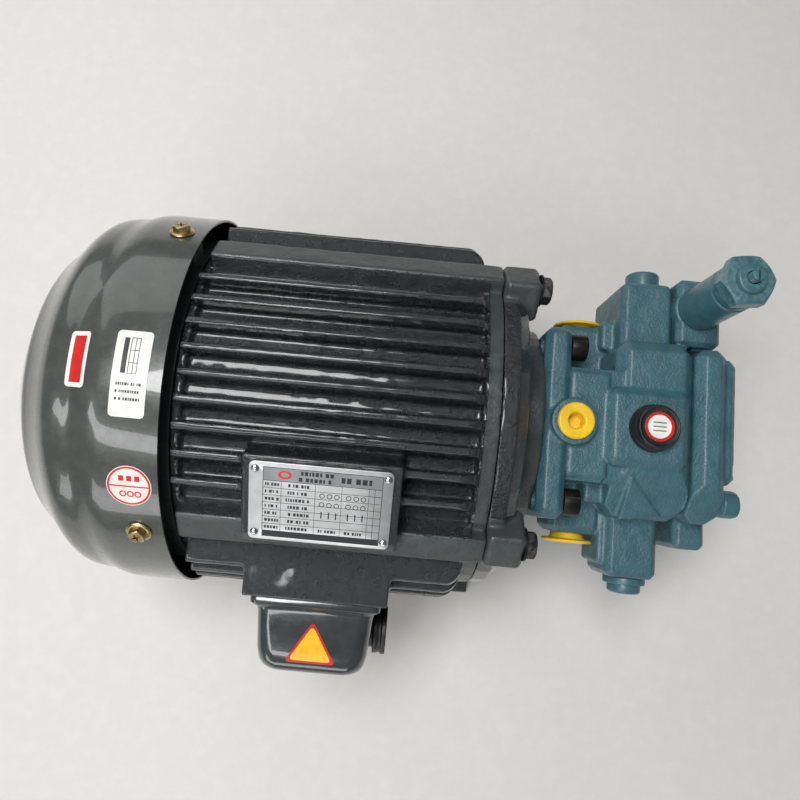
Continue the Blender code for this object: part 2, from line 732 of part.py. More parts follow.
# ---------------------------------------------------------------- pump rotating group
def rotating_group():
    plate = ring("valve_plate", 30.0, 12.4, VALVE_PLATE_X, BRONZE, 24)
    for index, middle in enumerate((0.0, math.pi)):
        slot = kidney(f"plate_slot_{index}", (16.0, 22.0), math.radians(62), (225.0, 236.0), middle)
        cut(plate, slot)
    barrel = ring("cylinder_barrel", BARREL_R, 9.2, BARREL_X, BRIGHT_STEEL, 28)
    retainer = ring("shoe_retainer", BARREL_R, 9.0, (263.4, 265.2), DARK_STEEL, 28)
    piston_profile = [
        (0.0, SHOE_FACE_X), (7.0, SHOE_FACE_X), (7.0, 265.9), (4.9, 265.7), (4.9, 262.0),
        (3.4, 260.5), (PISTON_R, 259.0), (PISTON_R, 240.0), (0.0, 240.0),
    ]
    for index in range(PISTON_COUNT):
        angle = TAU * index / PISTON_COUNT
        y, z = PISTON_CIRCLE_R * math.cos(angle), PISTON_CIRCLE_R * math.sin(angle)
        turned(f"piston_{index + 1}", piston_profile, BRIGHT_STEEL, (0, y, z), steps=10, closed=False)
        cut(barrel, rod(f"cylinder_bore_{index}", PISTON_BORE_R, (238.0, y, z), (262.0, y, z), segments=12))
        cut(barrel, rod(f"cylinder_port_{index}", 2.6, (228.0, y, z), (240.0, y, z), segments=6))
        cut(retainer, rod(f"retainer_hole_{index}", 5.5, (260.0, y, z), (268.0, y, z), segments=10))


def swash():
    """Swash plate in one piece with its trunnion pins and the arm that the pistons push."""
    plate = ring("swash_plate", SWASH_R, 10.0, SWASH_X, DARK_STEEL, 32)
    pins = rod("swash_pins", 5.0, (*SWASH_PIVOT, -39.0), (*SWASH_PIVOT, 39.0), segments=16)
    arm = box("swash_arm", (269.0, 24.0, -6.0), (275.0, 48.0, 6.0))
    relief = box("shoe_relief", (260.0, -40.0, -45.0), (SWASH_X[0], 40.0, 45.0))
    join(plate, pins, arm)
    cut(plate, relief)
    return plate


def control_gear():
    nose_x = 268.0
    piston = [(0.0, nose_x), (1.6, nose_x - 0.6), (2.2, nose_x - 2), (2.2, 262.0), (4.9, 261.0),
              (4.9, 246.0), (0.0, 246.0)]
    turned("control_piston", piston, BRIGHT_STEEL, (0, CONTROL_Y, 0), steps=12, closed=False)
    coil("bias_spring", 4.6, 0.8, (275.6, CONTROL_Y, 0), (290.4, CONTROL_Y, 0), 3.5, BRIGHT_STEEL)
    seal = [(19.7, 197.5), (19.7, 190.0), (12.0, 190.0), (12.0, 192.0), (17.0, 192.0), (17.0, 195.0),
            (12.0, 195.0), (12.0, 197.5)]
    turned("shaft_seal", seal, RUBBER, steps=18)


# ---------------------------------------------------------------- plugs and cap
def plugs():
    for side, face in PORT_FACE_Y.items():
        sign = math.copysign(1.0, face)
        rotation = (math.radians(-90 * sign), 0, 0)
        profile = [(0.0, 1.8), (7.4, 1.8), (8.0, 3.4), (15.5, 3.4), (15.5, 1.9), (9.6, 0.4),
                   (9.6, -9.0), (0.0, -9.0)]
        turned(f"port_plug_{side}", profile, YELLOW, (PORT_X, face, 0), rotation, 24, False)
    drain = [(0.0, -1.5), (4.2, -1.5), (4.2, 3.0), (10.2, 3.0), (10.2, 0.3), (5.6, 0.3),
             (5.6, -8.0), (0.0, -8.0)]
    turned("drain_plug", drain, YELLOW, (DRAIN_X, 0, DRAIN_FACE_Z), ALONG_Z, 24, False)
    cap = [(0.0, 11.0), (11.0, 11.0), (12.0, 9.8), (12.0, 0.3),
           (4.5, 0.3), (4.5, -5.0), (0.0, -5.0)]
    turned("rubber_cap", cap, RUBBER, (*CAP_CENTRE, PAD_TOP_Z), ALONG_Z, 24, False)
    upper = [(0.0, 12.5), (9.2, 12.5), (10.2, 11.5), (10.2, 0.3), (7.0, 0.3), (7.0, -12.0), (0.0, -12.0)]
    turned("upper_gallery_plug", upper, PUMP_PAINT, (258, 91, 10), ALONG_Y, 20, False)
    lower = [(0.0, 10.0), (11.0, 10.0), (12.5, 8.5), (12.5, 0.3), (9.0, 0.3), (9.0, -14.0), (0.0, -14.0)]
    turned("lower_gallery_plug", lower, PUMP_PAINT, (257, -85, 2), (math.radians(90), 0, 0), 20, False)


# ---------------------------------------------------------------- pressure compensator
def compensator():
    """Pressure valve: block, spool, spring with its seat, sleeve, hex cap and set screw."""
    x, y = COMP_CENTRE
    low = (COMP_BLOCK_X[0], COMP_BLOCK_Y[0], COMP_BLOCK_Z[0])
    high = (COMP_BLOCK_X[1], COMP_BLOCK_Y[1], COMP_BLOCK_Z[1])
    block = box("compensator_body", low, high, PUMP_PAINT)
    soften(block, 3.0, 1)
    cut(block, rod("spool_bore", 4.3, (x, y, -10), (x, y, 45), segments=16))
    top = COMP_BLOCK_Z[1] + GAP
    sleeve = [(12.2, 84.0), (12.2, top + 1.5), (11.4, top), (7.0, top), (7.0, 84.0)]
    turned("compensator_sleeve", sleeve, PUMP_PAINT, (x, y, 0), ALONG_Z, 24)
    cap = rod("compensator_cap", 13.4, (x, y, 84.3), (x, y, 92.0), PUMP_PAINT, 6)
    join(cap, rod("cap_collar", 8.0, (x, y, 90.0), (x, y, 96.0), segments=16))
    cut(cap, rod("cap_thread", 3.6, (x, y, 80.0), (x, y, 99.0), segments=16))
    spool = [(0.0, 35.0), (3.0, 35.0), (3.0, 30.0), (4.0, 29.5), (4.0, 20.0), (2.4, 19.0),
             (2.4, 8.0), (4.0, 7.0), (4.0, -5.0), (0.0, -5.0)]
    turned("compensator_spool", spool, BRIGHT_STEEL, (x, y, 0), ALONG_Z, 14, False)
    coil("compensator_spring", 5.0, 0.9, (x, y, 39.0), (x, y, 68.0), 5.0, BRIGHT_STEEL)
    seat = [(0.0, 72.0), (6.4, 72.0), (6.4, 68.6), (0.0, 68.6)]
    turned("spring_seat", seat, BRIGHT_STEEL, (x, y, 0), ALONG_Z, 24, False)
    screw = [(0.0, COMP_TOP_Z), (2.7, COMP_TOP_Z), (3.2, COMP_TOP_Z - 0.6), (3.2, 72.4), (0.0, 72.4)]
    turned("adjusting_screw", screw, PUMP_PAINT, (x, y, 0), ALONG_Z, 14, False)


def build():
    motor_frame()
    drive_end_bracket()
    rear_end_bracket()
    fan_cowl()
    shaft()
    rotor()
    ring("stator_core", FRAME_BORE_R - GAP, STATOR_BORE_R, (STATOR_START_X, STATOR_END_X), LAMINATION, 48)
    winding("front_winding", STATOR_END_X, 1)
    winding("rear_winding", STATOR_START_X, -1)
    bearing("front_bearing", FRONT_BEARING_X, True)
    bearing("rear_bearing", REAR_BEARING_X, False)
    fan()
    terminal_box()
    nameplate()
    fasteners()
    pump_housing()
    rear_cover()
    rotating_group()
    swash()
    control_gear()
    plugs()
    compensator()


build()
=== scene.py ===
"""Looks of a motor-driven axial piston pump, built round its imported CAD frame.

Lengths are in millimetres in the unit's own axes, as in the CAD source: X runs along the shaft
with zero at the open rim of the fan cowl, Z is up and zero height is the shaft's centre line.
MM turns them into metres, and ORIGIN is where that zero point lies in the frame.
"""

import math
import random

import bmesh
import bpy
import numpy as np
from mathutils import Matrix, Vector, noise


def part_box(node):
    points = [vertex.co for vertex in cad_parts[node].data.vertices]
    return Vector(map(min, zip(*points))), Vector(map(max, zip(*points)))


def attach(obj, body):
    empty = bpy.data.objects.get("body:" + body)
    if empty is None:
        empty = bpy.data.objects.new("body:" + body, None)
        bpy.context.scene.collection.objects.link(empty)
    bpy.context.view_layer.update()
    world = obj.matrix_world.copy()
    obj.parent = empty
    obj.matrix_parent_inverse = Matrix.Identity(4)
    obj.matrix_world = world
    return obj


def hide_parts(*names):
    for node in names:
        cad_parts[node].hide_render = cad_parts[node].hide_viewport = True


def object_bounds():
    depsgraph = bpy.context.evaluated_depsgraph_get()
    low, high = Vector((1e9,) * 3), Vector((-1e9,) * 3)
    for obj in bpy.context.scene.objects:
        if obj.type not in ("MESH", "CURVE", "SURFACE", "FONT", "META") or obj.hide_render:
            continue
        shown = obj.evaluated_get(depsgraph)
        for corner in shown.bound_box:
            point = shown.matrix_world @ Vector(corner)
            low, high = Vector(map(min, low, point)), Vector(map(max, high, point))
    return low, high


MM = 0.001
TAU = 2.0 * math.pi
X_AXIS = Vector((1, 0, 0))
Y_AXIS = Vector((0, 1, 0))
Z_AXIS = Vector((0, 0, 1))

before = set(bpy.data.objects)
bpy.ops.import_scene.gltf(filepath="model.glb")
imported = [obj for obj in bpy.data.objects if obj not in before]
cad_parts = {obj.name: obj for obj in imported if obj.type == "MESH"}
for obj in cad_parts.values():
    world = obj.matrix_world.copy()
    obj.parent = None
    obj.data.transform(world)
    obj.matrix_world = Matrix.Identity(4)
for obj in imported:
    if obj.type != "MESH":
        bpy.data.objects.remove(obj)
cad_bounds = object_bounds()
RANDOM = random.Random(7)

# Places taken from the frame.
COWL_LENGTH = 102.5
COWL_LOW, COWL_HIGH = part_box("fan_cowl")
ORIGIN = Vector((
    COWL_LOW.x + COWL_LENGTH * MM,
    (COWL_LOW.y + COWL_HIGH.y) / 2,
    (COWL_LOW.z + COWL_HIGH.z) / 2,
))
FLOOR_Z = cad_bounds[0][2]

# Places and sizes that several pieces share.
CORNERS = [math.radians(45 + 90 * i) for i in range(4)]
RING_R = 97.0
FIN_TIP_R = 107.0
FIN_ROUND_X = 142.0
FIN_END_X = 152.0
RIB_TOP_R = 105.0
RIB_HALF_ANGLE = math.radians(4.8)
COWL_SCREW_X = -12.6
BOLT_R = 96.0
BOLT_SEAT_X = 180.0
PLATE_CENTRE = Vector((77.0, -56.5, 95.0))
PLATE_TILT = math.radians(27)
PLATE_FACE = 1.3
BOX_MIDDLE = (75.0, 3.0)
BOX_FACE_Y = -108.8
BUSH_PLACE = Vector((75.0, BOX_FACE_Y - 20.0, 6.0))
COWL_SEAT_R = 110.1
FLANGE_SEAT_X = 205.0
FLANGE_BOLT_YZ = 44.0
PORT_X = 221.0
DRAIN = Vector((207.0, 0.0, 57.0))
CAP = Vector((250.0, 0.0, 55.0))
VALVE = Vector((282.5, 76.0, 0.0))
COVER_SCREWS = [(290.0, -38, -37), (297.5, 34, 32), (297.5, 34, -30), (297.5, -18, 34)]


# ---------------------------------------------------------------- materials
def colour(*screen):
    """Linear colour of an 8-bit red, green and blue."""
    linear = [((v / 255 + 0.055) / 1.055) ** 2.4 if v > 10 else v / 255 / 12.92 for v in screen]
    return (*linear, 1.0)


class Finish:
    """A procedural material: colour variation, uneven gloss, relief, dust and rubbed edges."""

    def __init__(self, name, base, gloss, metallic=0.0, spread=1.25):
        self.material = bpy.data.materials.new(name)
        self.material.use_nodes = True
        self.tree = self.material.node_tree
        self.shader = self.tree.nodes["Principled BSDF"]
        self.shader.inputs["Metallic"].default_value = metallic
        self.place = self.node("ShaderNodeTexCoord").outputs["Object"]
        self.colour = None
        self.base = base
        self.relief = None
        self.patches([min(1.0, c * spread) for c in base[:3]] + [1.0], 9.0)
        self.uneven_gloss(*gloss)

    def node(self, kind, **values):
        node = self.tree.nodes.new(kind)
        for key, value in values.items():
            setattr(node, key, value)
        return node

    def link(self, source, target):
        self.tree.links.new(source, target)

    def grain(self, size, detail=3.0, roughness=0.55, stretch=None):
        """Noise whose spots are about this many millimetres across."""
        spots = self.node("ShaderNodeTexNoise")
        spots.inputs["Scale"].default_value = 1.0 / (size * MM)
        spots.inputs["Detail"].default_value = detail
        spots.inputs["Roughness"].default_value = roughness
        source = self.place
        if stretch:
            mapping = self.node("ShaderNodeMapping")
            mapping.inputs["Scale"].default_value = stretch
            self.link(source, mapping.inputs["Vector"])
            source = mapping.outputs["Vector"]
        self.link(source, spots.inputs["Vector"])
        return spots.outputs["Fac"]

    def ramp(self, source, low, high):
        """Zero below low, one above high."""
        steps = self.node("ShaderNodeMapRange")
        steps.inputs["From Min"].default_value = low
        steps.inputs["From Max"].default_value = high
        self.link(source, steps.inputs["Value"])
        return steps.outputs["Result"]

    def mix(self, factor, other):
        """Blend the colour so far towards another where the factor is high."""
        blend = self.node("ShaderNodeMix", data_type="RGBA")
        self.link(factor, blend.inputs["Factor"])
        if self.colour is None:
            blend.inputs["A"].default_value = self.base
        else:
            self.link(self.colour, blend.inputs["A"])
        blend.inputs["B"].default_value = other
        self.colour = blend.outputs["Result"]
        self.link(self.colour, self.shader.inputs["Base Color"])
        return self

    def patches(self, other, size, low=0.42, high=0.68):
        return self.mix(self.ramp(self.grain(size), low, high), other)

    def uneven_gloss(self, low, high, size=4.0):
        spread = self.node("ShaderNodeMapRange")
        spread.inputs["From Min"].default_value = 0.3
        spread.inputs["From Max"].default_value = 0.7
        spread.inputs["To Min"].default_value = low
        spread.inputs["To Max"].default_value = high
        self.link(self.grain(size, 4.0), spread.inputs["Value"])
        self.link(spread.outputs["Result"], self.shader.inputs["Roughness"])
        return self

    def rough(self, size, height, detail=3.0, stretch=None, low=0.3, high=0.7):
        """Relief of this size and height in millimetres, on top of what is there."""
        bump = self.node("ShaderNodeBump")
        bump.inputs["Distance"].default_value = height * MM
        bump.inputs["Strength"].default_value = 1.0
        height_map = self.ramp(self.grain(size, detail, stretch=stretch), low, high)
        self.link(height_map, bump.inputs["Height"])
        if self.relief is not None:
            self.link(self.relief, bump.inputs["Normal"])
        self.relief = bump.outputs["Normal"]
        self.link(self.relief, self.shader.inputs["Normal"])
        return self

    def rubbed(self, other, low=0.52, high=0.6, share=0.5):
        """Lighter edges, where the surface is convex."""
        edge = self.ramp(self.node("ShaderNodeNewGeometry").outputs["Pointiness"], low, high)
        broken = self.node("ShaderNodeMath", operation="MULTIPLY")
        self.link(edge, broken.inputs[0])
        self.link(self.ramp(self.grain(2.5), 0.35, 0.6), broken.inputs[1])
        part = self.node("ShaderNodeMath", operation="MULTIPLY")
        self.link(broken.outputs[0], part.inputs[0])
        part.inputs[1].default_value = share
        return self.mix(part.outputs[0], other)

    def dusty(self, share=0.12):
        """A thin grey film on faces that look up."""
        normal = self.node("ShaderNodeNewGeometry").outputs["Normal"]
        parts = self.node("ShaderNodeSeparateXYZ")
        self.link(normal, parts.inputs[0])
        up = self.node("ShaderNodeMath", operation="MULTIPLY")
        self.link(self.ramp(parts.outputs["Z"], 0.2, 1.0), up.inputs[0])
        self.link(self.ramp(self.grain(14.0, 5.0), 0.4, 0.75), up.inputs[1])
        part = self.node("ShaderNodeMath", operation="MULTIPLY")
        self.link(up.outputs[0], part.inputs[0])
        part.inputs[1].default_value = share
        return self.mix(part.outputs[0], colour(150, 150, 146))

    def coat(self, weight, roughness=0.08):
        self.shader.inputs["Coat Weight"].default_value = weight
        self.shader.inputs["Coat Roughness"].default_value = roughness
        return self


# The frame's paint is the same dark grey as its smooth faces and the cowl. This copy is darkened below
# that tone, so the fins and their grooves carry painted shade.
SHADE_DARKENED_CAST_PAINT = (
    Finish("frame_cast_paint_painted_shade", colour(27, 30, 32), (0.18, 0.3))
    .rough(3.0, 0.28)
    .rough(1.1, 0.42, 2.0)
    .rough(0.6, 0.16)
    .rubbed(colour(70, 73, 73), 0.53, 0.64, 0.3)
    .dusty(0.03)
    .coat(0.8, 0.1)
    .material
)
SMOOTH_PAINT = (
    Finish("frame_smooth_paint", colour(58, 62, 62), (0.26, 0.4))
    .rough(2.6, 0.10)
    .rough(0.9, 0.06)
    .rubbed(colour(86, 89, 88), 0.53, 0.64, 0.35)
    .dusty(0.08)
    .material
)
COWL_PAINT = (
    Finish("cowl_gloss_paint", colour(66, 69, 66), (0.2, 0.3))
    .rough(1.6, 0.012)
    .rough(24.0, 0.05, 1.0)
    .dusty(0.04)
    .coat(0.7, 0.04)
    .material
)
BOX_PAINT = (
    Finish("cover_gloss_paint", colour(48, 52, 53), (0.16, 0.26))
    .rough(1.4, 0.016)
    .rough(12.0, 0.10, 1.0)
    .dusty(0.05)
    .coat(0.9, 0.04)
    .material
)
PUMP_PAINT = (
    Finish("pump_cast_paint", colour(55, 92, 103), (0.34, 0.5))
    .patches(colour(64, 102, 111), 16.0)
    .rough(4.5, 0.22)
    .rough(1.4, 0.2, 2.0)
    .rough(0.6, 0.05)
    .rubbed(colour(104, 141, 147), 0.53, 0.62, 0.5)
    .dusty(0.06)
    .coat(0.25, 0.25)
    .material
)
PUMP_SMOOTH = (
    Finish("pump_smooth_paint", colour(56, 94, 104), (0.3, 0.44))
    .patches(colour(64, 103, 112), 12.0)
    .rough(2.0, 0.07)
    .rough(0.6, 0.02)
    .rubbed(colour(104, 141, 147), 0.53, 0.62, 0.5)
    .dusty(0.05)
    .coat(0.25, 0.22)
    .material
)
BLACK_OXIDE = (
    Finish("black_oxide_steel", colour(34, 34, 35), (0.3, 0.5), 0.75)
    .rough(0.35, 0.012)
    .rubbed(colour(110, 108, 104), 0.53, 0.6, 0.6)
    .material
)
ZINC = (
    Finish("yellow_zinc_plate", colour(190, 165, 104), (0.2, 0.36), 1.0)
    .patches(colour(205, 190, 170), 1.8)
    .patches(colour(150, 128, 70), 3.2, 0.5, 0.7)
    .rough(0.4, 0.008)
    .material
)
BRIGHT = (
    Finish("ground_steel", colour(196, 197, 198), (0.16, 0.3), 1.0)
    .rough(0.3, 0.004, 2.0, (0.05, 1.0, 1.0))
    .material
)
LAMINATED = (
    Finish("laminated_steel", colour(120, 121, 124), (0.34, 0.5), 0.9)
    .rough(0.5, 0.03, 1.0, (1.0, 0.03, 0.03))
    .patches(colour(98, 96, 94), 6.0)
    .material
)
COPPER = (
    Finish("varnished_winding", colour(150, 82, 44), (0.25, 0.45), 0.6)
    .rough(1.0, 0.3, 1.0, (1.0, 1.0, 0.25))
    .patches(colour(108, 52, 30), 5.0)
    .coat(0.5, 0.2)
    .material
)
BRONZE = Finish("bronze", colour(176, 134, 78), (0.25, 0.4), 1.0).rough(0.5, 0.01).material
YELLOW = (
    Finish("yellow_polyethylene", colour(232, 188, 30), (0.3, 0.42))
    .patches(colour(240, 204, 60), 7.0)
    .rough(0.8, 0.012)
    .rough(5.0, 0.05, 1.0)
    .material
)
YELLOW_SHADER = YELLOW.node_tree.nodes["Principled BSDF"]
YELLOW_SHADER.inputs["Subsurface Weight"].default_value = 0.15
YELLOW_SHADER.inputs["Subsurface Scale"].default_value = 0.002
RUBBER = (
    Finish("black_rubber_moulded", colour(18, 18, 19), (0.35, 0.5)).rough(0.7, 0.02).dusty(0.1).material
)
NYLON = Finish("fan_nylon", colour(30, 30, 31), (0.4, 0.55)).rough(0.6, 0.02).dusty(0.15).material
PHENOLIC = Finish("terminal_phenolic", colour(120, 70, 44), (0.35, 0.5)).rough(0.7, 0.02).material
PLATE = (
    Finish("satin_plate", colour(190, 191, 190), (0.3, 0.38), 0.7, 1.04)
    .rough(0.25, 0.002, 2.0, (0.04, 1.0, 1.0))
    .patches(colour(202, 203, 203), 8.0)
    .material
)
INK = Finish("black_print", colour(26, 27, 30), (0.4, 0.5)).rough(0.3, 0.002).material
GREY_INK = Finish("grey_print", colour(132, 134, 136), (0.35, 0.45), 0.4).rough(0.3, 0.002).material
RED_INK = Finish("red_print", colour(190, 34, 30), (0.3, 0.42)).rough(0.5, 0.003).material
WHITE_FILM = Finish("white_film", colour(222, 221, 216), (0.28, 0.4)).rough(2.0, 0.01).material
PINK_FILM = Finish("pale_film", colour(232, 214, 208), (0.26, 0.38)).rough(2.0, 0.01).material
YELLOW_FILM = Finish("yellow_film", colour(236, 180, 32), (0.24, 0.36)).rough(2.0, 0.01).material


# ---------------------------------------------------------------- solids as (points, faces) in mm
def brick(low, high):
    xs, ys, zs = zip(low, high)
    return hull([(x, y, z) for x in xs for y in ys for z in zs])


def slab(low_x, high_x, section):
    """The convex solid with this (y, z) section between two places along the shaft."""
    return hull([(x, y, z) for y, z in section for x in (low_x, high_x)])


def hull(points):
    """The convex solid round these points."""
    work = bmesh.new()
    for point in points:
        work.verts.new(point)
    bmesh.ops.convex_hull(work, input=work.verts)
    bmesh.ops.dissolve_limit(work, angle_limit=0.01, verts=work.verts, edges=work.edges)
    return unpack(work)


def unpack(work):
    work.verts.index_update()
    points = [v.co.copy() for v in work.verts]
    faces = [[v.index for v in face.verts] for face in work.faces]
    work.free()
    return points, faces


def pack(solids):
    work = bmesh.new()
    for points, faces in solids:
        made = [work.verts.new(point) for point in points]
        for face in faces:
            work.faces.new([made[i] for i in face])
    return work


def bevelled(solid, width, segments=3, degrees=30):
    """The solid with its edges rounded off."""
    work = pack([solid])
    work.normal_update()
    limit = math.radians(degrees)
    edges = [e for e in work.edges if e.is_manifold and e.calc_face_angle(0) > limit]
    bmesh.ops.bevel(
        work, geom=edges, offset=width, segments=segments, profile=0.5,
        affect="EDGES", clamp_overlap=True,
    )
    return unpack(work)


def moved(solid, matrix):
    points, faces = solid
    return [matrix @ Vector(p) for p in points], faces


def spindle(origin, direction, turn=0.0):
    """The place of a turned part: its local Z runs along direction from origin."""
    way = Vector(direction).to_track_quat("Z", "Y").to_matrix().to_4x4()
    return Matrix.Translation(Vector(origin)) @ way @ Matrix.Rotation(turn, 4, "Z")


def rounded(profile, radius, steps=3):
    """The outline with its corners eased by short curves."""
    outline = [profile[0]]
    for before, corner, after in zip(profile, profile[1:], profile[2:]):
        a, c, b = Vector(before), Vector(corner), Vector(after)
        reach_in = min(radius, 0.45 * (a - c).length)
        reach_out = min(radius, 0.45 * (b - c).length)
        start = c + (a - c).normalized() * reach_in
        end = c + (b - c).normalized() * reach_out
        for i in range(steps + 1):
            t = i / steps
            outline.append(tuple(start * (1 - t) ** 2 + c * 2 * t * (1 - t) + end * t**2))
    outline.append(profile[-1])
    return outline


def disc(radius, count=40):
    """A circle as an outline."""
    angles = [TAU * k / count for k in range(count)]
    return [(radius * math.cos(a), radius * math.sin(a)) for a in angles]


def revolve(profile, steps=64, closed=False):
    """A turned solid; the profile is (radius, height), and an end on the axis becomes a pole."""
    points, faces, rings = [], [], []
    for radius, height in profile:
        if radius < 1e-6:
            rings.append([len(points)] * steps)
            points.append((0.0, 0.0, height))
        else:
            rings.append([len(points) + k for k in range(steps)])
            points += [(u, v, height) for u, v in disc(radius, steps)]
    pairs = list(zip(rings, rings[1:]))
    if closed:
        pairs.append((rings[-1], rings[0]))
    for low, high in pairs:
        for k in range(steps):
            n = (k + 1) % steps
            corners = []
            for index in (low[k], low[n], high[n], high[k]):
                if index not in corners:
                    corners.append(index)
            if len(corners) > 2:
                faces.append(corners)
    return points, faces


def turned(profile, origin, direction, steps=64, ease=0.5, closed=False, turn=0.0):
    """A turned part with eased corners; a closed profile makes a ring."""
    if closed:
        middle = tuple((a + b) / 2 for a, b in zip(profile[-1], profile[0]))
        profile = [middle] + list(profile) + [middle]
        outline = rounded(profile, ease)[:-1]
    else:
        outline = rounded(profile, ease)
    return moved(revolve(outline, steps, closed), spindle(origin, direction, turn))


def prism(radius, sides, low, high):
    return revolve([(0, low), (radius, low), (radius, high), (0, high)], sides)


def on_corner(radius, angle, x):
    """A point at an angle round the shaft, measured from +Y towards +Z."""
    return Vector((x, radius * math.cos(angle), radius * math.sin(angle)))


# ---------------------------------------------------------------- pieces
def in_metres(solids):
    """The solids in one mesh, with their faces turned outwards."""
    work = pack(solids)
    bmesh.ops.recalc_face_normals(work, faces=work.faces)
    bmesh.ops.scale(work, vec=(MM, MM, MM), verts=work.verts)
    return work


def loose(name, solids):
    """An object that isn't a piece yet: a tool or a work in progress."""
    work = in_metres(solids)
    mesh = bpy.data.meshes.new(name)
    work.to_mesh(mesh)
    work.free()
    thing = bpy.data.objects.new(name, mesh)
    thing.location = ORIGIN
    bpy.context.scene.collection.objects.link(thing)
    return thing


def taken(thing):
    """The solid of a work in progress, in millimetres again; the object goes."""
    work = bmesh.new()
    work.from_mesh(thing.data)
    bmesh.ops.scale(work, vec=(1 / MM,) * 3, verts=work.verts)
    bpy.data.objects.remove(thing)
    return unpack(work)


def settle(thing):
    """Apply the modifiers."""
    graph = bpy.context.evaluated_depsgraph_get()
    mesh = bpy.data.meshes.new_from_object(thing.evaluated_get(graph))
    thing.modifiers.clear()
    thing.data = mesh


def carve(thing, *cutters, operation="DIFFERENCE"):
    """Cut these solids out of the thing, or join or intersect it with them."""
    tools = [loose(f"{thing.name}_tool_{i}", [solid]) for i, solid in enumerate(cutters)]
    for tool in tools:
        step = thing.modifiers.new("carve", "BOOLEAN")
        step.operation = operation
        step.object = tool
    settle(thing)
    for tool in tools:
        bpy.data.objects.remove(tool)


def finish_piece(piece, finish, body="housing", replaces=(), sharp=40):
    piece.data.materials.clear()
    piece.data.materials.append(finish)
    piece.data.shade_smooth()
    piece.data.set_sharp_from_angle(angle=math.radians(sharp))
    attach(piece, body)
    if replaces:
        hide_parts(*replaces)
    return piece


def make(name, solids, finish, body="housing", replaces=(), sharp=40):
    return finish_piece(loose(name, solids), finish, body, replaces, sharp)


def node_solid(node):
    """The CAD node's own solid, in millimetres in the unit's axes."""
    work = bmesh.new()
    work.from_mesh(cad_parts[node].data)
    bmesh.ops.remove_doubles(work, verts=work.verts, dist=1e-6)
    bmesh.ops.translate(work, vec=-ORIGIN, verts=work.verts)
    bmesh.ops.scale(work, vec=(1 / MM,) * 3, verts=work.verts)
    return unpack(work)


def casting(
    name, node, finish, voxel, rounds, added=(), cutters=(), shape=None, waviness=0.1, keep=1.0
):
    """A rough casting: the CAD solid with extra stock, its edges flowed together and eased.

    cutters come off before added goes on. shape moves the points of the eased skin, waviness is
    the depth of its uneven surface, and keep is the share of its faces that stays.
    """
    piece = loose(name, [node_solid(node)])
    if cutters:
        carve(piece, *cutters)
    if added:
        work = in_metres(added)
        work.from_mesh(piece.data)
        work.to_mesh(piece.data)
        work.free()
    skin = piece.modifiers.new("skin", "REMESH")
    skin.mode = "VOXEL"
    skin.voxel_size = voxel * MM
    ease = piece.modifiers.new("ease", "SMOOTH")
    ease.factor = 0.5
    ease.iterations = rounds
    settle(piece)
    points = np.empty(len(piece.data.vertices) * 3)
    piece.data.vertices.foreach_get("co", points)
    points = points.reshape(-1, 3) / MM
    if shape:
        points = shape(points)
    normals = np.empty(len(points) * 3)
    piece.data.vertices.foreach_get("normal", normals)
    push = np.array([noise.noise(Vector(p) / 7.0) for p in points]) * waviness
    points = points + normals.reshape(-1, 3) * push[:, None]
    piece.data.vertices.foreach_set("co", (points * MM).ravel())
    if keep < 1.0:
        thin = piece.modifiers.new("thin", "DECIMATE")
        thin.ratio = keep
        settle(piece)
    return finish_piece(piece, finish, replaces=(node,), sharp=60)


def corner_offset(y, z):
    """Angle from the nearest 45 degree corner round the shaft."""
    quarter = math.pi / 2
    return np.abs(np.arctan2(z, y) % quarter - quarter / 2)


# ---------------------------------------------------------------- motor frame and brackets
def round_fin_ends(points):
    """Pull the ends of the fins down in a curve to the smooth ring."""
    x, y, z = points.T
    reach = np.hypot(y, z)
    run = np.clip((x - FIN_ROUND_X) / (FIN_END_X - FIN_ROUND_X), 0, 1)
    limit = RING_R + (FIN_TIP_R - RING_R) * np.sqrt(1 - run**2)
    is_rib = corner_offset(y, z) < math.radians(8)
    is_foot = (np.abs(y) > 63) & (z < -48)
    too_far = (reach > limit) & (x > FIN_ROUND_X) & ~is_rib & ~is_foot
    scale = np.where(too_far, limit / reach, 1.0)
    return np.stack([x, y * scale, z * scale], axis=1)


def motor_frame():
    stock = []
    for angle in CORNERS:
        spot = on_corner(99.0, angle, 149.0)
        out = on_corner(1.0, angle, 0)
        side = X_AXIS.cross(out)
        stock.append(hull([
            spot + side * s * 6.5 + out * h + X_AXIS * e
            for s in (-1, 1) for h in (-3, 5.2) for e in (-4, 10)
        ]))
    for side in (-1, 1):
        for x in (15.0, 155.0):
            stock.append(slab(x - 3, x + 3, [(side * 80, -101), (side * 96, -101), (side * 80, -72)]))
    piece = casting(
        "motor_frame_casting", "motor_frame", SHADE_DARKENED_CAST_PAINT, 1.05, 3,
        added=stock, shape=round_fin_ends, waviness=0.22, keep=0.5,
    )
    # Fins and grooves keep the darkened paint, which is painted shade. Rib tops and the smooth ring get
    # the paint's own tone.
    piece.data.materials.append(SMOOTH_PAINT)
    for face in piece.data.polygons:
        x, y, z = Vector(face.center) / MM
        reach = math.hypot(y, z)
        on_rib = corner_offset(y, z) < RIB_HALF_ANGLE and reach > RIB_TOP_R - 1.6
        if on_rib or x > FIN_END_X + 0.5 and reach < RIB_TOP_R + 2:
            face.material_index = 1


def brackets():
    piece = casting(
        "drive_bracket_casting", "drive_end_bracket", SMOOTH_PAINT, 0.9, 4, keep=0.5
    )
    # The finned part of the bracket gets the darkened paint, which is painted shade.
    piece.data.materials.append(SHADE_DARKENED_CAST_PAINT)
    for face in piece.data.polygons:
        x, y, z = Vector(face.center) / MM
        if corner_offset(y, z) > math.radians(9) and math.hypot(y, z) > 62:
            face.material_index = 1


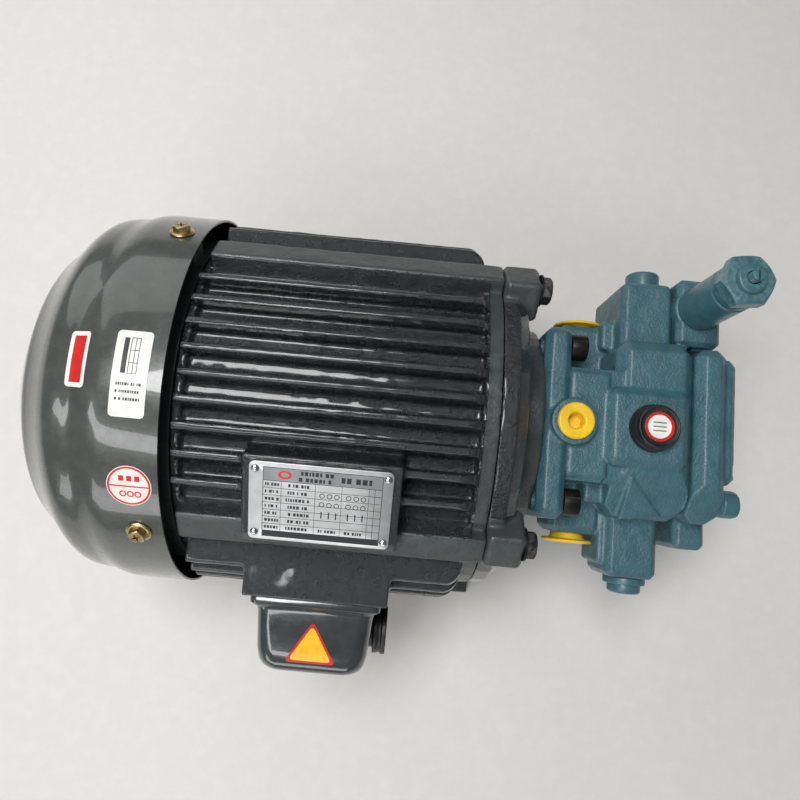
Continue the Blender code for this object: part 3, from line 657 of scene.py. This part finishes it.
# ---------------------------------------------------------------- fan cowl
# The cowl's outside from its rim to the edge of its flat end, as (place on the shaft, radius).
COWL_CURVE = [
    (-0.5, 110.0), (-12, 110.0), (-27, 110.0), (-32, 109.7), (-36, 108.9), (-40, 107.6),
    (-44, 106.6), (-49, 106.2), (-54, 105.4), (-58, 103.5), (-62, 100.2), (-66, 96.2),
    (-70, 92.3), (-74, 88.8), (-77.5, 86.0), (-79.6, 83.2), (-82, 79.2), (-86, 72.6),
    (-90, 66.0), (-94, 59.0), (-98, 50.8), (-100.8, 42.4), (-102.1, 34.0), (-102.5, 26.0),
]


def smooth_curve(points, steps=5):
    """A Catmull-Rom curve through the points."""
    ends = [points[0]] + list(points) + [points[-1]]
    curve = []
    for a, b, c, d in zip(ends, ends[1:], ends[2:], ends[3:]):
        for i in range(steps):
            t = i / steps
            curve.append(tuple(
                0.5 * (2 * q + (r - p) * t + (2 * p - 5 * q + 4 * r - s) * t**2
                       + (3 * q - p - 3 * r + s) * t**3)
                for p, q, r, s in zip(a, b, c, d)
            ))
    curve.append(points[-1])
    return curve


COWL_PATH = smooth_curve(COWL_CURVE)


def cowl_radius(x):
    xs = [p[0] for p in COWL_PATH][::-1]
    rs = [p[1] for p in COWL_PATH][::-1]
    return float(np.interp(x, xs, rs))


def fan_cowl():
    thickness = 1.4
    dimple = [(18.0, -COWL_LENGTH), (15.0, -101.4), (11.0, -101.0), (0.0, -101.0)]
    outer = [(r, x) for x, r in COWL_PATH] + dimple
    inner = []
    for (r0, x0), (r1, x1) in zip(outer, outer[1:]):
        inward = thickness / math.hypot(r1 - r0, x1 - x0)
        inner.append((max(r0 + inward * (x1 - x0), 0.0), x0 - inward * (r1 - r0)))
    inner.append((0.0, outer[-1][1] + thickness))
    rim = [(inner[0][0], -0.7), (inner[0][0] + 0.4, -0.35), (outer[0][0] - 0.4, -0.35)]
    profile = inner[::-1] + rim + outer
    shell = loose("fan_cowl_shell", [moved(revolve(profile, 144), spindle((0, 0, 0), X_AXIS))])
    slots = []
    for index in range(8):
        angle = TAU * (index + 0.5) / 8
        slot = []
        for r in (25.0, 38.0):
            end = on_corner(r, angle, 0)
            slot += [end + Vector((x, y, z)) for y, z in disc(4.0, 20) for x in (-112, -90)]
        slots.append(hull(slot))
    for angle in CORNERS:
        low, high = on_corner(104, angle, COWL_SCREW_X), on_corner(114, angle, COWL_SCREW_X)
        slots.append(moved(prism(2.9, 20, 0, 10), spindle(low, high - low)))
    carve(shell, *slots)
    finish_piece(shell, COWL_PAINT, replaces=("fan_cowl",), sharp=32)


# ---------------------------------------------------------------- films and prints
def rounded_box(half_u, half_v, radius, arcs=6):
    outline = []
    for quarter in range(4):
        cu = (half_u - radius) * (1, -1, -1, 1)[quarter]
        cv = (half_v - radius) * (1, 1, -1, -1)[quarter]
        for i in range(arcs + 1):
            a = math.pi / 2 * (quarter + i / arcs)
            outline.append((cu + radius * math.cos(a), cv + radius * math.sin(a)))
    return outline


def dense(outline, step=1.5):
    """The closed outline with points no further apart than this."""
    points = []
    for a, b in zip(outline, outline[1:] + outline[:1]):
        count = max(1, math.ceil(math.dist(a, b) / step))
        points += [(a[0] + (b[0] - a[0]) * i / count, a[1] + (b[1] - a[1]) * i / count)
                   for i in range(count)]
    return points


def film(outline, surface, lift, thickness=0.08, rings=7, centre=(0, 0)):
    """A thin closed sheet that follows a surface; surface(u, v, lift) gives a point."""
    outline = dense(outline)
    points, faces = [], []
    count = len(outline)
    for height in (lift + thickness, lift):
        points.append(surface(*centre, height))
        for ring in range(1, rings + 1):
            t = ring / rings
            points += [
                surface(centre[0] + (u - centre[0]) * t, centre[1] + (v - centre[1]) * t, height)
                for u, v in outline
            ]
    layer = 1 + rings * count
    for side, base in enumerate((0, layer)):
        for k in range(count):
            n = (k + 1) % count
            cap = [base, base + 1 + k, base + 1 + n]
            faces.append(cap if side == 0 else cap[::-1])
            for ring in range(rings - 1):
                a = base + 1 + ring * count
                band = [a + k, a + count + k, a + count + n, a + n]
                faces.append(band if side == 0 else band[::-1])
    edge = 1 + (rings - 1) * count
    for k in range(count):
        n = (k + 1) % count
        faces.append([edge + k, layer + edge + k, layer + edge + n, edge + n])
    return points, faces


def bar(u0, u1, v0, v1, surface, lift, thickness=0.05, steps=4):
    """A printed bar: a film with straight edges and enough points to follow a curve."""
    outline = [(u0 + (u1 - u0) * i / steps, v0) for i in range(steps)]
    outline += [(u1, v0 + (v1 - v0) * i / steps) for i in range(steps)]
    outline += [(u1 - (u1 - u0) * i / steps, v1) for i in range(steps)]
    outline += [(u0, v1 - (v1 - v0) * i / steps) for i in range(steps)]
    return film(outline, surface, lift, thickness, 2, ((u0 + u1) / 2, (v0 + v1) / 2))


def dashes(u0, u1, v, height, surface, lift):
    """A row of short marks in place of a printed word."""
    marks = []
    u = u0
    while u < u1 - height * 0.4:
        width = min(height * RANDOM.uniform(0.35, 0.9), u1 - u)
        marks.append(bar(u, u + width, v - height / 2, v + height / 2, surface, lift, 0.04, 1))
        u += width + height * RANDOM.choice((0.28, 0.28, 0.28, 0.8))
    return marks


def hoop(outer, inner, surface, lift, thickness=0.05, centre=(0, 0)):
    """A printed ring between two outlines of the same count."""
    points, faces = [], []
    count = len(outer)
    for height in (lift + thickness, lift):
        for outline in (outer, inner):
            points += [surface(centre[0] + u, centre[1] + v, height) for u, v in outline]
    for k in range(count):
        n = (k + 1) % count
        top_out, top_in, low_out, low_in = (base * count for base in range(4))
        faces.append([top_out + k, top_out + n, top_in + n, top_in + k])
        faces.append([low_out + n, low_out + k, low_in + k, low_in + n])
        faces.append([top_out + k, low_out + k, low_out + n, top_out + n])
        faces.append([top_in + n, low_in + n, low_in + k, top_in + k])
    return points, faces


def on_cowl(x, angle):
    """A surface of the cowl about a point: u runs along the shaft and v round it."""

    def surface(u, v, lift):
        at = x + u
        radius = cowl_radius(at) + lift
        return on_corner(radius, angle + v / cowl_radius(x), at)

    return surface


def labels():
    """Three generic labels: a red bar, a small table and a round mark."""
    lift = 0.06
    ink = lift + 0.09
    red = on_cowl(-42.0, math.radians(89.5))
    make("red_label_film", [film(rounded_box(4.9, 13.4, 1.8), red, lift)], WHITE_FILM)
    make("red_label_print", [film(rounded_box(3.0, 11.2, 0.4), red, ink)], RED_INK)
    white = on_cowl(-15.6, math.radians(92.2))
    make("white_label_film", [film(rounded_box(8.4, 20.5, 2.0), white, lift)], WHITE_FILM)
    marks = [bar(-4.6, -2.3, -17.0, 0.0, white, ink)]
    marks += [bar(u - 0.15, u + 0.15, -17.0, 0.0, white, ink) for u in (-1.2, 0.9, 2.8)]
    marks += [bar(-1.2, 2.8, v - 0.15, v + 0.15, white, ink) for v in (-17.0, -11.0, -5.0, 0.0)]
    for v in (5.0, 8.5, 12.0):
        marks += dashes(-6, 6, v, 1.3, white, ink)
    make("white_label_print", marks, INK)
    check_mark = on_cowl(-14.3, math.radians(120.6))
    make("round_label_film", [film(disc(10.8), check_mark, lift)], PINK_FILM)
    marks = [hoop(disc(10.4), disc(9.4), check_mark, ink)]
    marks.append(bar(-9.4, 9.4, -0.35, 0.35, check_mark, ink))
    for u in (-3.2, 0.4, 4.0):
        marks.append(hoop(disc(1.7, 24), disc(1.05, 24), check_mark, ink, centre=(u, 4.2)))
    for u in (-3.6, 0.2, 4.0):
        marks.append(bar(u - 1.2, u + 1.2, -5.6, -2.8, check_mark, ink))
    make("round_label_print", marks, RED_INK)


def on_plate(u, v, lift):
    """The nameplate's upper side: u runs along the shaft and v up the slope."""
    across = Vector((0, math.cos(PLATE_TILT), math.sin(PLATE_TILT)))
    up = Vector((0, -math.sin(PLATE_TILT), math.cos(PLATE_TILT)))
    return PLATE_CENTRE + X_AXIS * u + across * v + up * (PLATE_FACE + lift)


def nameplate():
    plate = bevelled(film(rounded_box(34.0, 20.5, 2.6), on_plate, -1.0, 1.0, 2), 0.25, 2)
    make("nameplate_sheet", [plate], PLATE, replaces=("nameplate",), sharp=50)
    left, right, low, table_high, high = -27.2, 29.0, -18.8, 11.2, 18.0
    row_height = 3.8
    ink, header_ink = 0.01, 0.06
    rules = [bar(left, right, v - 0.14, v + 0.14, on_plate, ink) for v in (high, table_high)]
    for row in range(1, 7):
        v = table_high - row * row_height
        rules.append(bar(left, right, v - 0.1, v + 0.1, on_plate, ink))
    for u in (-18.6, -2.5, 10.0, 22.8, 25.6):
        rules.append(bar(u - 0.1, u + 0.1, -15.4, table_high, on_plate, ink))
    rules += [bar(u - 0.14, u + 0.14, low, high, on_plate, ink) for u in (left, right)]
    marks = []
    for row in range(7):
        v = table_high - (row + 0.5) * row_height
        marks += dashes(-26.2, -19.6, v, 1.5, on_plate, ink)
        marks += dashes(-16.5 + RANDOM.uniform(0, 2), -5.0, v, 1.6, on_plate, ink)
    for base in (-0.4, 12.2):
        for column in range(3):
            u = base + 1.2 + 3.5 * column
            for v in (5.4, 0.8):
                marks.append(hoop(disc(1.3, 20), disc(0.95, 20), on_plate, ink, centre=(u, v)))
            marks.append(bar(u - 0.3, u + 0.3, -6.6, -3.0, on_plate, ink))
        marks += dashes(base, base + 9, -13.5, 1.5, on_plate, ink)
    marks += dashes(-9.5, 6.5, 16.1, 2.0, on_plate, header_ink)
    marks += dashes(-10.5, 5.5, 12.9, 2.0, on_plate, header_ink)
    marks += dashes(9.5, 24.0, 14.4, 2.8, on_plate, header_ink)
    make("nameplate_print", rules + marks, INK)
    header = bar(-27.0, 28.8, 11.3, 17.9, on_plate, 0.0)
    footer = bar(-27.0, 28.8, -18.7, -15.4, on_plate, 0.02)
    make("nameplate_header", [header], GREY_INK)
    make("nameplate_footer", [footer], INK)
    lozenge = [(u * 1.55, v) for u, v in disc(2.1)]
    hole = [(u * 0.6, v * 0.6) for u, v in lozenge]
    emblem = hoop(lozenge, hole, on_plate, header_ink, centre=(-17, 14.6))
    make("nameplate_emblem", [emblem], RED_INK)
    normal = on_plate(0, 0, 1) - on_plate(0, 0, 0)
    head = [(0, 1.3), (0.9, 1.15), (1.7, 0.7), (2.1, 0.0), (2.1, -0.3), (0, -0.3)]
    rivets = [
        turned(head, on_plate(u, v, 0), normal, 24, 0.2) for u in (-31.0, 31.4) for v in (-16.8, 16.8)
    ]
    make("nameplate_rivets", rivets, BRIGHT)


# ---------------------------------------------------------------- terminal box
def terminal_box():
    x, z = BOX_MIDDLE
    face = BOX_FACE_Y
    # Sections of the pressing from its lip outwards: half width, half height, depth, corner radius.
    outer = [
        (35.0, 45.0, 0.0, 4.0), (35.4, 45.4, -1.2, 4.4), (35.2, 45.2, -3.6, 4.4),
        (34.0, 44.0, -5.0, 5.0), (32.4, 42.4, -6.0, 6.5), (31.8, 41.8, -8.0, 7.5),
        (31.2, 41.2, -16.0, 8.5), (30.4, 40.4, -28.0, 9.5), (29.2, 39.2, -34.0, 10.0),
        (27.4, 37.4, -37.4, 10.0), (25.0, 35.0, -39.3, 9.0), (22.0, 32.0, -40.1, 8.0),
        (10.0, 16.0, -40.2, 5.0),
    ]
    inner = [
        (8.0, 14.0, -38.4, 4.0), (22.0, 32.0, -38.3, 7.0), (26.4, 36.4, -36.4, 8.5),
        (28.6, 38.6, -32.0, 8.5), (29.6, 39.6, -16.0, 7.5), (30.2, 40.2, -6.0, 6.0),
        (30.6, 40.6, 0.0, 4.0),
    ]
    points, faces = [], []
    rows = outer + inner
    for half_x, half_z, depth, radius in rows:
        points += [(x + u, face + depth, z + v) for u, v in rounded_box(half_x, half_z, radius, 8)]
    count = len(points) // len(rows)
    for row in range(len(rows)):
        after = (row + 1) % len(rows)
        if row == len(outer) - 1:
            continue
        for k in range(count):
            n = (k + 1) % count
            faces.append([row * count + k, row * count + n, after * count + n, after * count + k])
    last = len(outer) - 1
    faces.append([last * count + k for k in range(count)])
    faces.append([(last + 1) * count + k for k in range(count)][::-1])
    cover = loose("terminal_cover_pressing", [(points, faces)])
    carve(cover, moved(prism(10.4, 48, 0, 30), spindle(BUSH_PLACE + X_AXIS * 20, X_AXIS)))
    finish_piece(cover, BOX_PAINT, replaces=("terminal_box_cover",), sharp=35)
    bush = [
        (13.5, 40), (13.5, 37.6), (12.6, 36.8), (12.6, 35.4), (13.2, 34.6), (13.2, 32.6),
        (10.0, 32.4), (10.0, 23), (7.0, 23), (7.0, 39.0), (8.2, 40),
    ]
    rubber = turned(bush, BUSH_PLACE, X_AXIS, 56, 0.5, True)
    make("cable_bush", [rubber], RUBBER, replaces=("cable_entry_bush",))

    def on_pad(u, v, lift):
        return Vector((x + u, face + lift, z + v))

    lips = rounded_box(36.2, 46.2, 4.5, 8), rounded_box(31.4, 41.4, 4.0, 8)
    make("terminal_gasket", [hoop(*lips, on_pad, 0.02, 0.26)], RUBBER)

    def on_cover(u, v, lift):
        """Film on the upper side of the cover, which leans and rolls over at its far edge."""
        depth = -22.0 + v
        profile = sorted((row[2], row[1]) for row in outer)
        height = float(np.interp(depth, [p[0] for p in profile], [p[1] for p in profile]))
        return Vector((x + u, face + depth, z + height + lift))

    corners = [Vector((0.0, 11.0)), Vector((-14.0, -11.5)), Vector((14.0, -11.5))]
    middle = sum(corners, Vector((0, 0))) / 3
    for name, size, lift, finish in (
        ("box_label_border", 1.0, 0.1, RED_INK),
        ("box_label_field", 0.84, 0.2, YELLOW_FILM),
    ):
        tips = [middle + (c - middle) * size for c in corners]
        start = (tips[0] + tips[2]) / 2
        triangle = rounded([tuple(p) for p in (start, *tips, start)], 3.2, 5)[:-1]
        make(name, [film(triangle, on_cover, lift, 0.08, 8, (0, -4))], finish)


# ---------------------------------------------------------------- fasteners
def hex_head(seat, direction, across, height, turn=0.0, dome=0.9):
    """A hexagon head with its upper corners turned off."""
    radius = across / math.sqrt(3)
    head = loose("head_blank", [moved(prism(radius, 6, 0, height), spindle(seat, direction, turn))])
    crown = [
        (0, height), (across / 2 * 0.94, height), (radius * 1.01, height - dome),
        (radius * 1.3, height - dome), (radius * 1.3, -1), (0, -1),
    ]
    carve(head, moved(revolve(crown, 48), spindle(seat, direction)), operation="INTERSECT")
    return taken(head)


def thread(radius, length, pitch, seat, direction, steps=20):
    """A shank whose grooves are rings at the pitch of its thread."""
    profile = [(0.0, 0.0)]
    count = int(length / pitch)
    for i in range(count):
        profile += [(radius * 0.9, -i * pitch), (radius, -(i + 0.5) * pitch)]
    profile += [(radius * 0.85, -length), (0.0, -length)]
    return moved(revolve(profile, steps), spindle(seat, direction))


def fasteners():
    for index, angle in enumerate(CORNERS):
        number = index + 1
        out = on_corner(1, angle, 0)
        seat = on_corner(COWL_SEAT_R, angle, COWL_SCREW_X)
        flange = turned([(0, 0.1), (6.4, 0.1), (6.4, 0.9), (5.3, 1.5), (0, 1.5)], seat, out, 40, 0.3)
        head = loose("cowl_head", [hex_head(seat + out * 1.3, out, 7.8, 3.2, 0.35, 0.8)])
        cross = brick((-2.1, -0.45, 1.9), (2.1, 0.45, 5)), brick((-0.45, -2.1, 1.9), (0.45, 2.1, 5))
        carve(head, *[moved(arm, spindle(seat + out * 1.3, out, 0.35)) for arm in cross])
        solids = [flange, taken(head), thread(2.5, 13.5, 0.9, seat, out)]
        make(f"cowl_screw_{number}_detail", solids, ZINC,
             replaces=(f"cowl_screw_{number}",), sharp=30)

        seat = on_corner(BOLT_R, angle, BOLT_SEAT_X)
        washer = turned([(4.4, 0.05), (8.6, 0.05), (8.6, 1.3), (4.4, 1.3)], seat, X_AXIS, 40, 0.2, True)
        head = hex_head(seat + X_AXIS * 1.3, X_AXIS, 13.0, 5.2, 0.2 + 0.4 * index, 1.1)
        shank = thread(4.0, 36.5, 1.25, seat + X_AXIS * 1.4, X_AXIS)
        make(f"bracket_bolt_{number}_detail", [washer, head, shank], BLACK_OXIDE,
             replaces=(f"bracket_bolt_{number}",), sharp=30)

        y = math.copysign(FLANGE_BOLT_YZ, math.cos(angle))
        z = math.copysign(FLANGE_BOLT_YZ, math.sin(angle))
        seat = Vector((FLANGE_SEAT_X, y, z))
        solids = socket_screw(seat, X_AXIS, 7.5, 9.3, 4.8, 13.8, 1.5)
        make(f"flange_screw_{number}_detail", solids, BLACK_OXIDE,
             replaces=(f"flange_screw_{number}",), sharp=30)


def socket_screw(seat, direction, head_r, head_h, shank_r, shank_length, pitch):
    """A cap screw: knurled head with a hexagon socket."""
    seat = Vector(seat)
    grooves = 48
    groove_depth = 0.22
    profile = [(0, 0.2), (head_r, 0.2), (head_r, head_h - 0.5), (head_r - 0.6, head_h), (0, head_h)]
    points, faces = revolve(rounded(profile, 0.3, 2), grooves * 2)
    knurl = []
    for x, y, z in points:
        on_side = 1.2 < z < head_h - 1.6 and math.hypot(x, y) >= head_r - 0.05
        in_groove = round(math.atan2(y, x) / TAU * grooves * 2) % 2 == 0
        scale = (head_r - groove_depth) / head_r if on_side and in_groove else 1.0
        knurl.append((x * scale, y * scale, z))
    head = loose("socket_blank", [moved((knurl, faces), spindle(seat, direction))])
    socket = prism(head_r * 0.5, 6, head_h * 0.45, head_h + 1)
    carve(head, moved(socket, spindle(seat, direction, 0.3)))
    return [taken(head), thread(shank_r, shank_length, pitch, seat + direction * 0.3, direction)]


# ---------------------------------------------------------------- pump casing
def pump_casing():
    slope = slab(226, 276.9, [(-23, 51), (-51, 30), (-60, 60), (-23, 60)])
    corners = (((242.0, -26.5, 48.4), 1.2), ((241.0, -49.5, 31.1), 3.4), ((265.5, -47.5, 32.6), 1.6))
    out = Vector((0.0, -0.6, 0.8))
    facet = hull([Vector(p) + out * h for p, rise in corners for h in (-4.0, rise)])
    collar_profile = [(0, 0), (15.5, 0), (14.5, 3.4), (0, 3.4)]
    collar = turned(collar_profile, CAP - Z_AXIS * 3.4, Z_AXIS, 48, 1.0)
    rib_side = [(224, 8, 47), (234, 10, 50), (224, 6, 40), (234, 12, 40)]
    rib = hull([(x, side * y, z) for x, y, z in rib_side for side in (-1, 1)])
    blocks = (
        ((205.5, -30, 44.5), (228, 30, 50.5)),
        ((221, -43, -30), (236, -28, 32)),
        ((230, 50, -20), (240, 68, 22)),
        ((262, 38, -22), (276, 52, 28)),
        ((235, -78, -16), (243, -48, 16)),
    )
    steps = [bevelled(brick(low, high), 2.0, 2) for low, high in blocks]
    casting(
        "pump_housing_casting", "pump_housing", PUMP_PAINT, 0.8, 5,
        added=[facet, collar, rib, *steps], cutters=[slope], waviness=0.25, keep=0.45,
    )

    cut = slab(277, 310, [(-27, 51), (-51, 33), (-60, 60), (-27, 60)])
    bores = [moved(prism(6.6, 32, 0, 20), spindle(seat, X_AXIS)) for seat in COVER_SCREWS]
    boss = bevelled(brick((290, -46, 16), (298, -28, 35)), 2.5, 2)
    casting(
        "pump_cover_casting", "pump_rear_cover", PUMP_PAINT, 0.8, 5,
        added=[boss], cutters=[cut, *bores], waviness=0.2, keep=0.45,
    )

    lug_low = bevelled(brick((270.4, 49.5, -16), (277, 60, 36)), 1.5, 2)
    lug_high = bevelled(brick((281, 51.4, -14), (293, 60, 32)), 1.5, 2)
    dome = turned([(0, 30), (15.0, 30), (14.2, 37.6), (0, 37.9)], VALVE, Z_AXIS, 48, 1.5)
    casting(
        "compensator_body_casting", "compensator_body", PUMP_PAINT, 0.7, 4,
        added=[lug_low, lug_high, dome], waviness=0.15, keep=0.5,
    )


def hex_plug(seat, direction, radius, height, socket, depth):
    """A round plug with a hexagon socket in its end."""
    profile = [(0, 0.3), (radius, 0.3), (radius, height - 1.2), (radius - 1.2, height), (0, height)]
    blank = loose("plug_blank", [turned(profile, seat, direction, 56, 0.5)])
    hole = prism(socket, 6, height - depth, height + 2)
    carve(blank, moved(hole, spindle(seat, direction, 0.4)))
    return taken(blank)


def pump_fittings():
    seat = Vector((258, 91, 10))
    plug = hex_plug(seat, Y_AXIS, 10.2, 12.5, 4.6, 4.5)
    shank = thread(7.0, 12, 1.5, seat + Y_AXIS, Y_AXIS)
    make("upper_gallery_plug_detail", [plug, shank], PUMP_SMOOTH,
         replaces=("upper_gallery_plug",), sharp=35)

    seat = Vector((257, -85, 2))
    base = turned([(0, 0.3), (12.5, 0.3), (12.5, 4.6), (0, 4.6)], seat, -Y_AXIS, 56, 0.8)
    plug = hex_plug(seat - Y_AXIS * 3.0, -Y_AXIS, 9.8, 7.0, 4.6, 4.5)
    shank = thread(9.0, 14, 1.5, seat - Y_AXIS, -Y_AXIS)
    make("lower_gallery_plug_detail", [base, plug, shank], PUMP_SMOOTH,
         replaces=("lower_gallery_plug",), sharp=35)

    profile = [(0, -1), (8.1, -1), (8.1, 6.4), (7.2, 8.4), (0, 8.6)]
    side_plug = turned(profile, (303.0, -37.0, 26.0), X_AXIS, 48, 1.0)
    make("cover_side_plug", [side_plug], PUMP_SMOOTH, sharp=35)
    for number, seat in enumerate(COVER_SCREWS, 1):
        solids = socket_screw(seat, X_AXIS, 5.0, 5.0, 3.0, 6.0, 1.0)
        make(f"cover_screw_{number}", solids, BLACK_OXIDE, sharp=30)

    for side, face, stand in (("upper", 66.0, 0.6), ("lower", -62.0, 3.0)):
        way = Y_AXIS * math.copysign(1, face)
        profile = [
            (0, 1.0 + stand), (7.0, 1.0 + stand), (7.8, 2.6 + stand), (14.6, 2.9 + stand),
            (15.4, 2.2 + stand), (15.3, 1.1 + stand), (10.4, 0.4 + stand), (9.5, -0.4),
            (9.5, -8.8), (8.6, -9.0), (0, -9.0),
        ]
        plug = turned(profile, (PORT_X, face, 0), way, 72, 0.5)
        make(f"port_plug_{side}_detail", [plug], YELLOW,
             replaces=(f"port_plug_{side}",), sharp=45)
    profile = [
        (0, -5.2), (4.1, -5.2), (4.4, 2.4), (5.2, 3.2), (9.4, 3.2), (10.3, 2.2), (10.2, 1.0),
        (6.4, 0.4), (5.6, 0.1), (5.5, -8.0), (0, -8.0),
    ]
    make("drain_plug_detail", [turned(profile, DRAIN, Z_AXIS, 64, 0.5)], YELLOW,
         replaces=("drain_plug",), sharp=45)


def rubber_cap():
    top_height = 10.2
    profile = [
        (0, top_height), (9.9, top_height), (10.4, 10.9), (11.0, 10.9), (12.0, 9.4), (12.1, 5.2),
        (12.8, 4.4), (13.2, 1.0), (12.9, 0.3), (4.5, 0.3), (4.5, -5.0), (0, -5.0),
    ]
    make("rubber_cap_detail", [turned(profile, CAP, Z_AXIS, 72, 0.5)], RUBBER,
         replaces=("rubber_cap",), sharp=45)

    def on_cap(u, v, lift):
        return CAP + Vector((u, v, top_height + lift))

    film_lift, ink = 0.05, 0.14
    ring = hoop(disc(8.0, 48), disc(6.4, 48), on_cap, ink)
    marks = [bar(-3.6, 3.6, v - 0.35, v + 0.35, on_cap, ink) for v in (-2.2, 0.0, 2.2)]
    make("cap_label_film", [film(disc(8.0, 48), on_cap, film_lift)], WHITE_FILM)
    make("cap_label_ring", [ring], RED_INK)
    make("cap_label_marks", marks, GREY_INK)


def compensator():
    sleeve = [
        (12.8, 84.0), (12.8, 79.4), (12.0, 78.6), (12.0, 77.0), (12.8, 76.2), (12.8, 42.0),
        (13.2, 40.2), (13.2, 38.3), (7.0, 38.3), (7.0, 84.0),
    ]
    make("compensator_sleeve_detail", [turned(sleeve, VALVE, Z_AXIS, 72, 0.6, True)],
         PUMP_SMOOTH, replaces=("compensator_sleeve",), sharp=40)
    seat = VALVE + Z_AXIS * 84.3
    cap = loose("compensator_cap_detail", [hex_head(seat, Z_AXIS, 25.4, 8.4, 0.1, 2.4)])
    collar = turned([(0, 6.0), (8.0, 6.0), (8.0, 10.6), (7.0, 11.7), (0, 11.7)], seat, Z_AXIS, 48, 0.6)
    carve(cap, collar, operation="UNION")
    carve(cap, moved(prism(3.7, 32, -2, 14), spindle(seat, Z_AXIS)))
    finish_piece(cap, PUMP_SMOOTH, replaces=("compensator_cap",), sharp=35)
    pitch = 1.25
    screw = [(0, 101.0), (2.5, 101.0), (3.1, 100.4)]
    for i in range(22):
        screw += [(3.15, 99.6 - i * pitch), (2.75, 99.0 - i * pitch)]
    screw += [(2.75, 72.4), (0, 72.4)]
    rod = loose("adjusting_screw_detail", [moved(revolve(screw, 40), spindle(VALVE, Z_AXIS))])
    slot = brick((VALVE.x - 0.5, VALVE.y - 4, 98.6), (VALVE.x + 0.5, VALVE.y + 4, 103))
    carve(rod, slot)
    finish_piece(rod, PUMP_SMOOTH, "set_screw", ("adjusting_screw",), 30)


# ---------------------------------------------------------------- inner parts keep their CAD shape
INNER = (
    (SMOOTH_PAINT, ["rear_end_bracket"]),
    (BRIGHT, [
        "drive_shaft", "front_bearing_inner_ring", "front_bearing_outer_ring",
        "rear_bearing_inner_ring", "rear_bearing_outer_ring", "cylinder_barrel", "control_piston",
        "bias_spring", "compensator_spool", "compensator_spring", "spring_seat",
        *[f"piston_{i}" for i in range(1, 8)],
    ]),
    (BLACK_OXIDE, ["shoe_retainer", "swash_plate"]),
    (LAMINATED, ["rotor_core", "stator_core"]),
    (COPPER, ["front_winding", "rear_winding"]),
    (BRONZE, ["valve_plate", "front_bearing_ball_cage"]),
    (RUBBER, ["shaft_seal"]),
    (NYLON, ["cooling_fan"]),
    (PHENOLIC, ["terminal_board"]),
)


def inner_parts():
    for finish, nodes in INNER:
        for node in nodes:
            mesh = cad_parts[node].data
            mesh.materials.clear()
            mesh.materials.append(finish)


# ---------------------------------------------------------------- stage
def studio_floor():
    finish = Finish("studio_floor", colour(224, 222, 218), (0.55, 0.7), 0.0, 1.03).rough(30.0, 0.2)
    level = FLOOR_Z / MM - ORIGIN.z / MM

    def on_floor(u, v, lift):
        return Vector((u, v, level + lift))

    floor = loose("floor", [film(disc(3000.0, 64), on_floor, -20.0, 20.0, 3)])
    floor.data.materials.append(finish.material)


def studio_light():
    world = bpy.data.worlds.new("studio")
    world.use_nodes = True
    background = world.node_tree.nodes["Background"]
    background.inputs["Color"].default_value = (0.92, 0.95, 1.0, 1.0)
    background.inputs["Strength"].default_value = 0.16
    bpy.context.scene.world = world
    aim = Vector((80, 0, 0))
    # Name, place, size in metres and power in watts of each softbox.
    for name, place, size, power in (
        ("key", (-200, 150, 1300), (0.7, 0.4), 13.0),
        ("strip", (-480, -740, 1100), (1.3, 0.2), 5.0),
        ("fill", (-300, -1500, 480), (1.5, 0.4), 6.0),
        ("back", (-600, 900, 600), (0.8, 0.8), 2.5),
    ):
        lamp = bpy.data.lights.new(name, "AREA")
        lamp.shape = "RECTANGLE"
        lamp.size, lamp.size_y = size
        lamp.energy = power
        light = bpy.data.objects.new(name, lamp)
        light.location = ORIGIN + Vector(place) * MM
        way = ORIGIN + aim * MM - light.location
        light.rotation_euler = way.to_track_quat("-Z", "Y").to_euler()
        bpy.context.scene.collection.objects.link(light)


def studio_camera():
    """Nearly straight above the unit, leaning a little towards its near side."""
    place = Vector((108.4, -47.0, 408.6))
    tilt, lean, turn = math.radians(8.02), math.radians(-0.33), math.radians(5.3)
    camera = bpy.data.objects.new("camera", bpy.data.cameras.new("camera"))
    camera.data.lens = 29.25
    camera.data.sensor_width = 36.0
    camera.data.clip_start = 0.01
    camera.matrix_world = (
        Matrix.Translation(ORIGIN + place * MM)
        @ (Matrix.Rotation(tilt, 4, "X") @ Matrix.Rotation(lean, 4, "Y"))
        @ Matrix.Rotation(turn, 4, "Z")
    )
    bpy.context.scene.collection.objects.link(camera)
    bpy.context.scene.camera = camera


motor_frame()
brackets()
fan_cowl()
labels()
nameplate()
terminal_box()
fasteners()
pump_casing()
pump_fittings()
rubber_cap()
compensator()
inner_parts()
bpy.context.scene.view_settings.view_transform = "Standard"
studio_floor()
studio_light()
studio_camera()

bpy.context.view_layer.update()
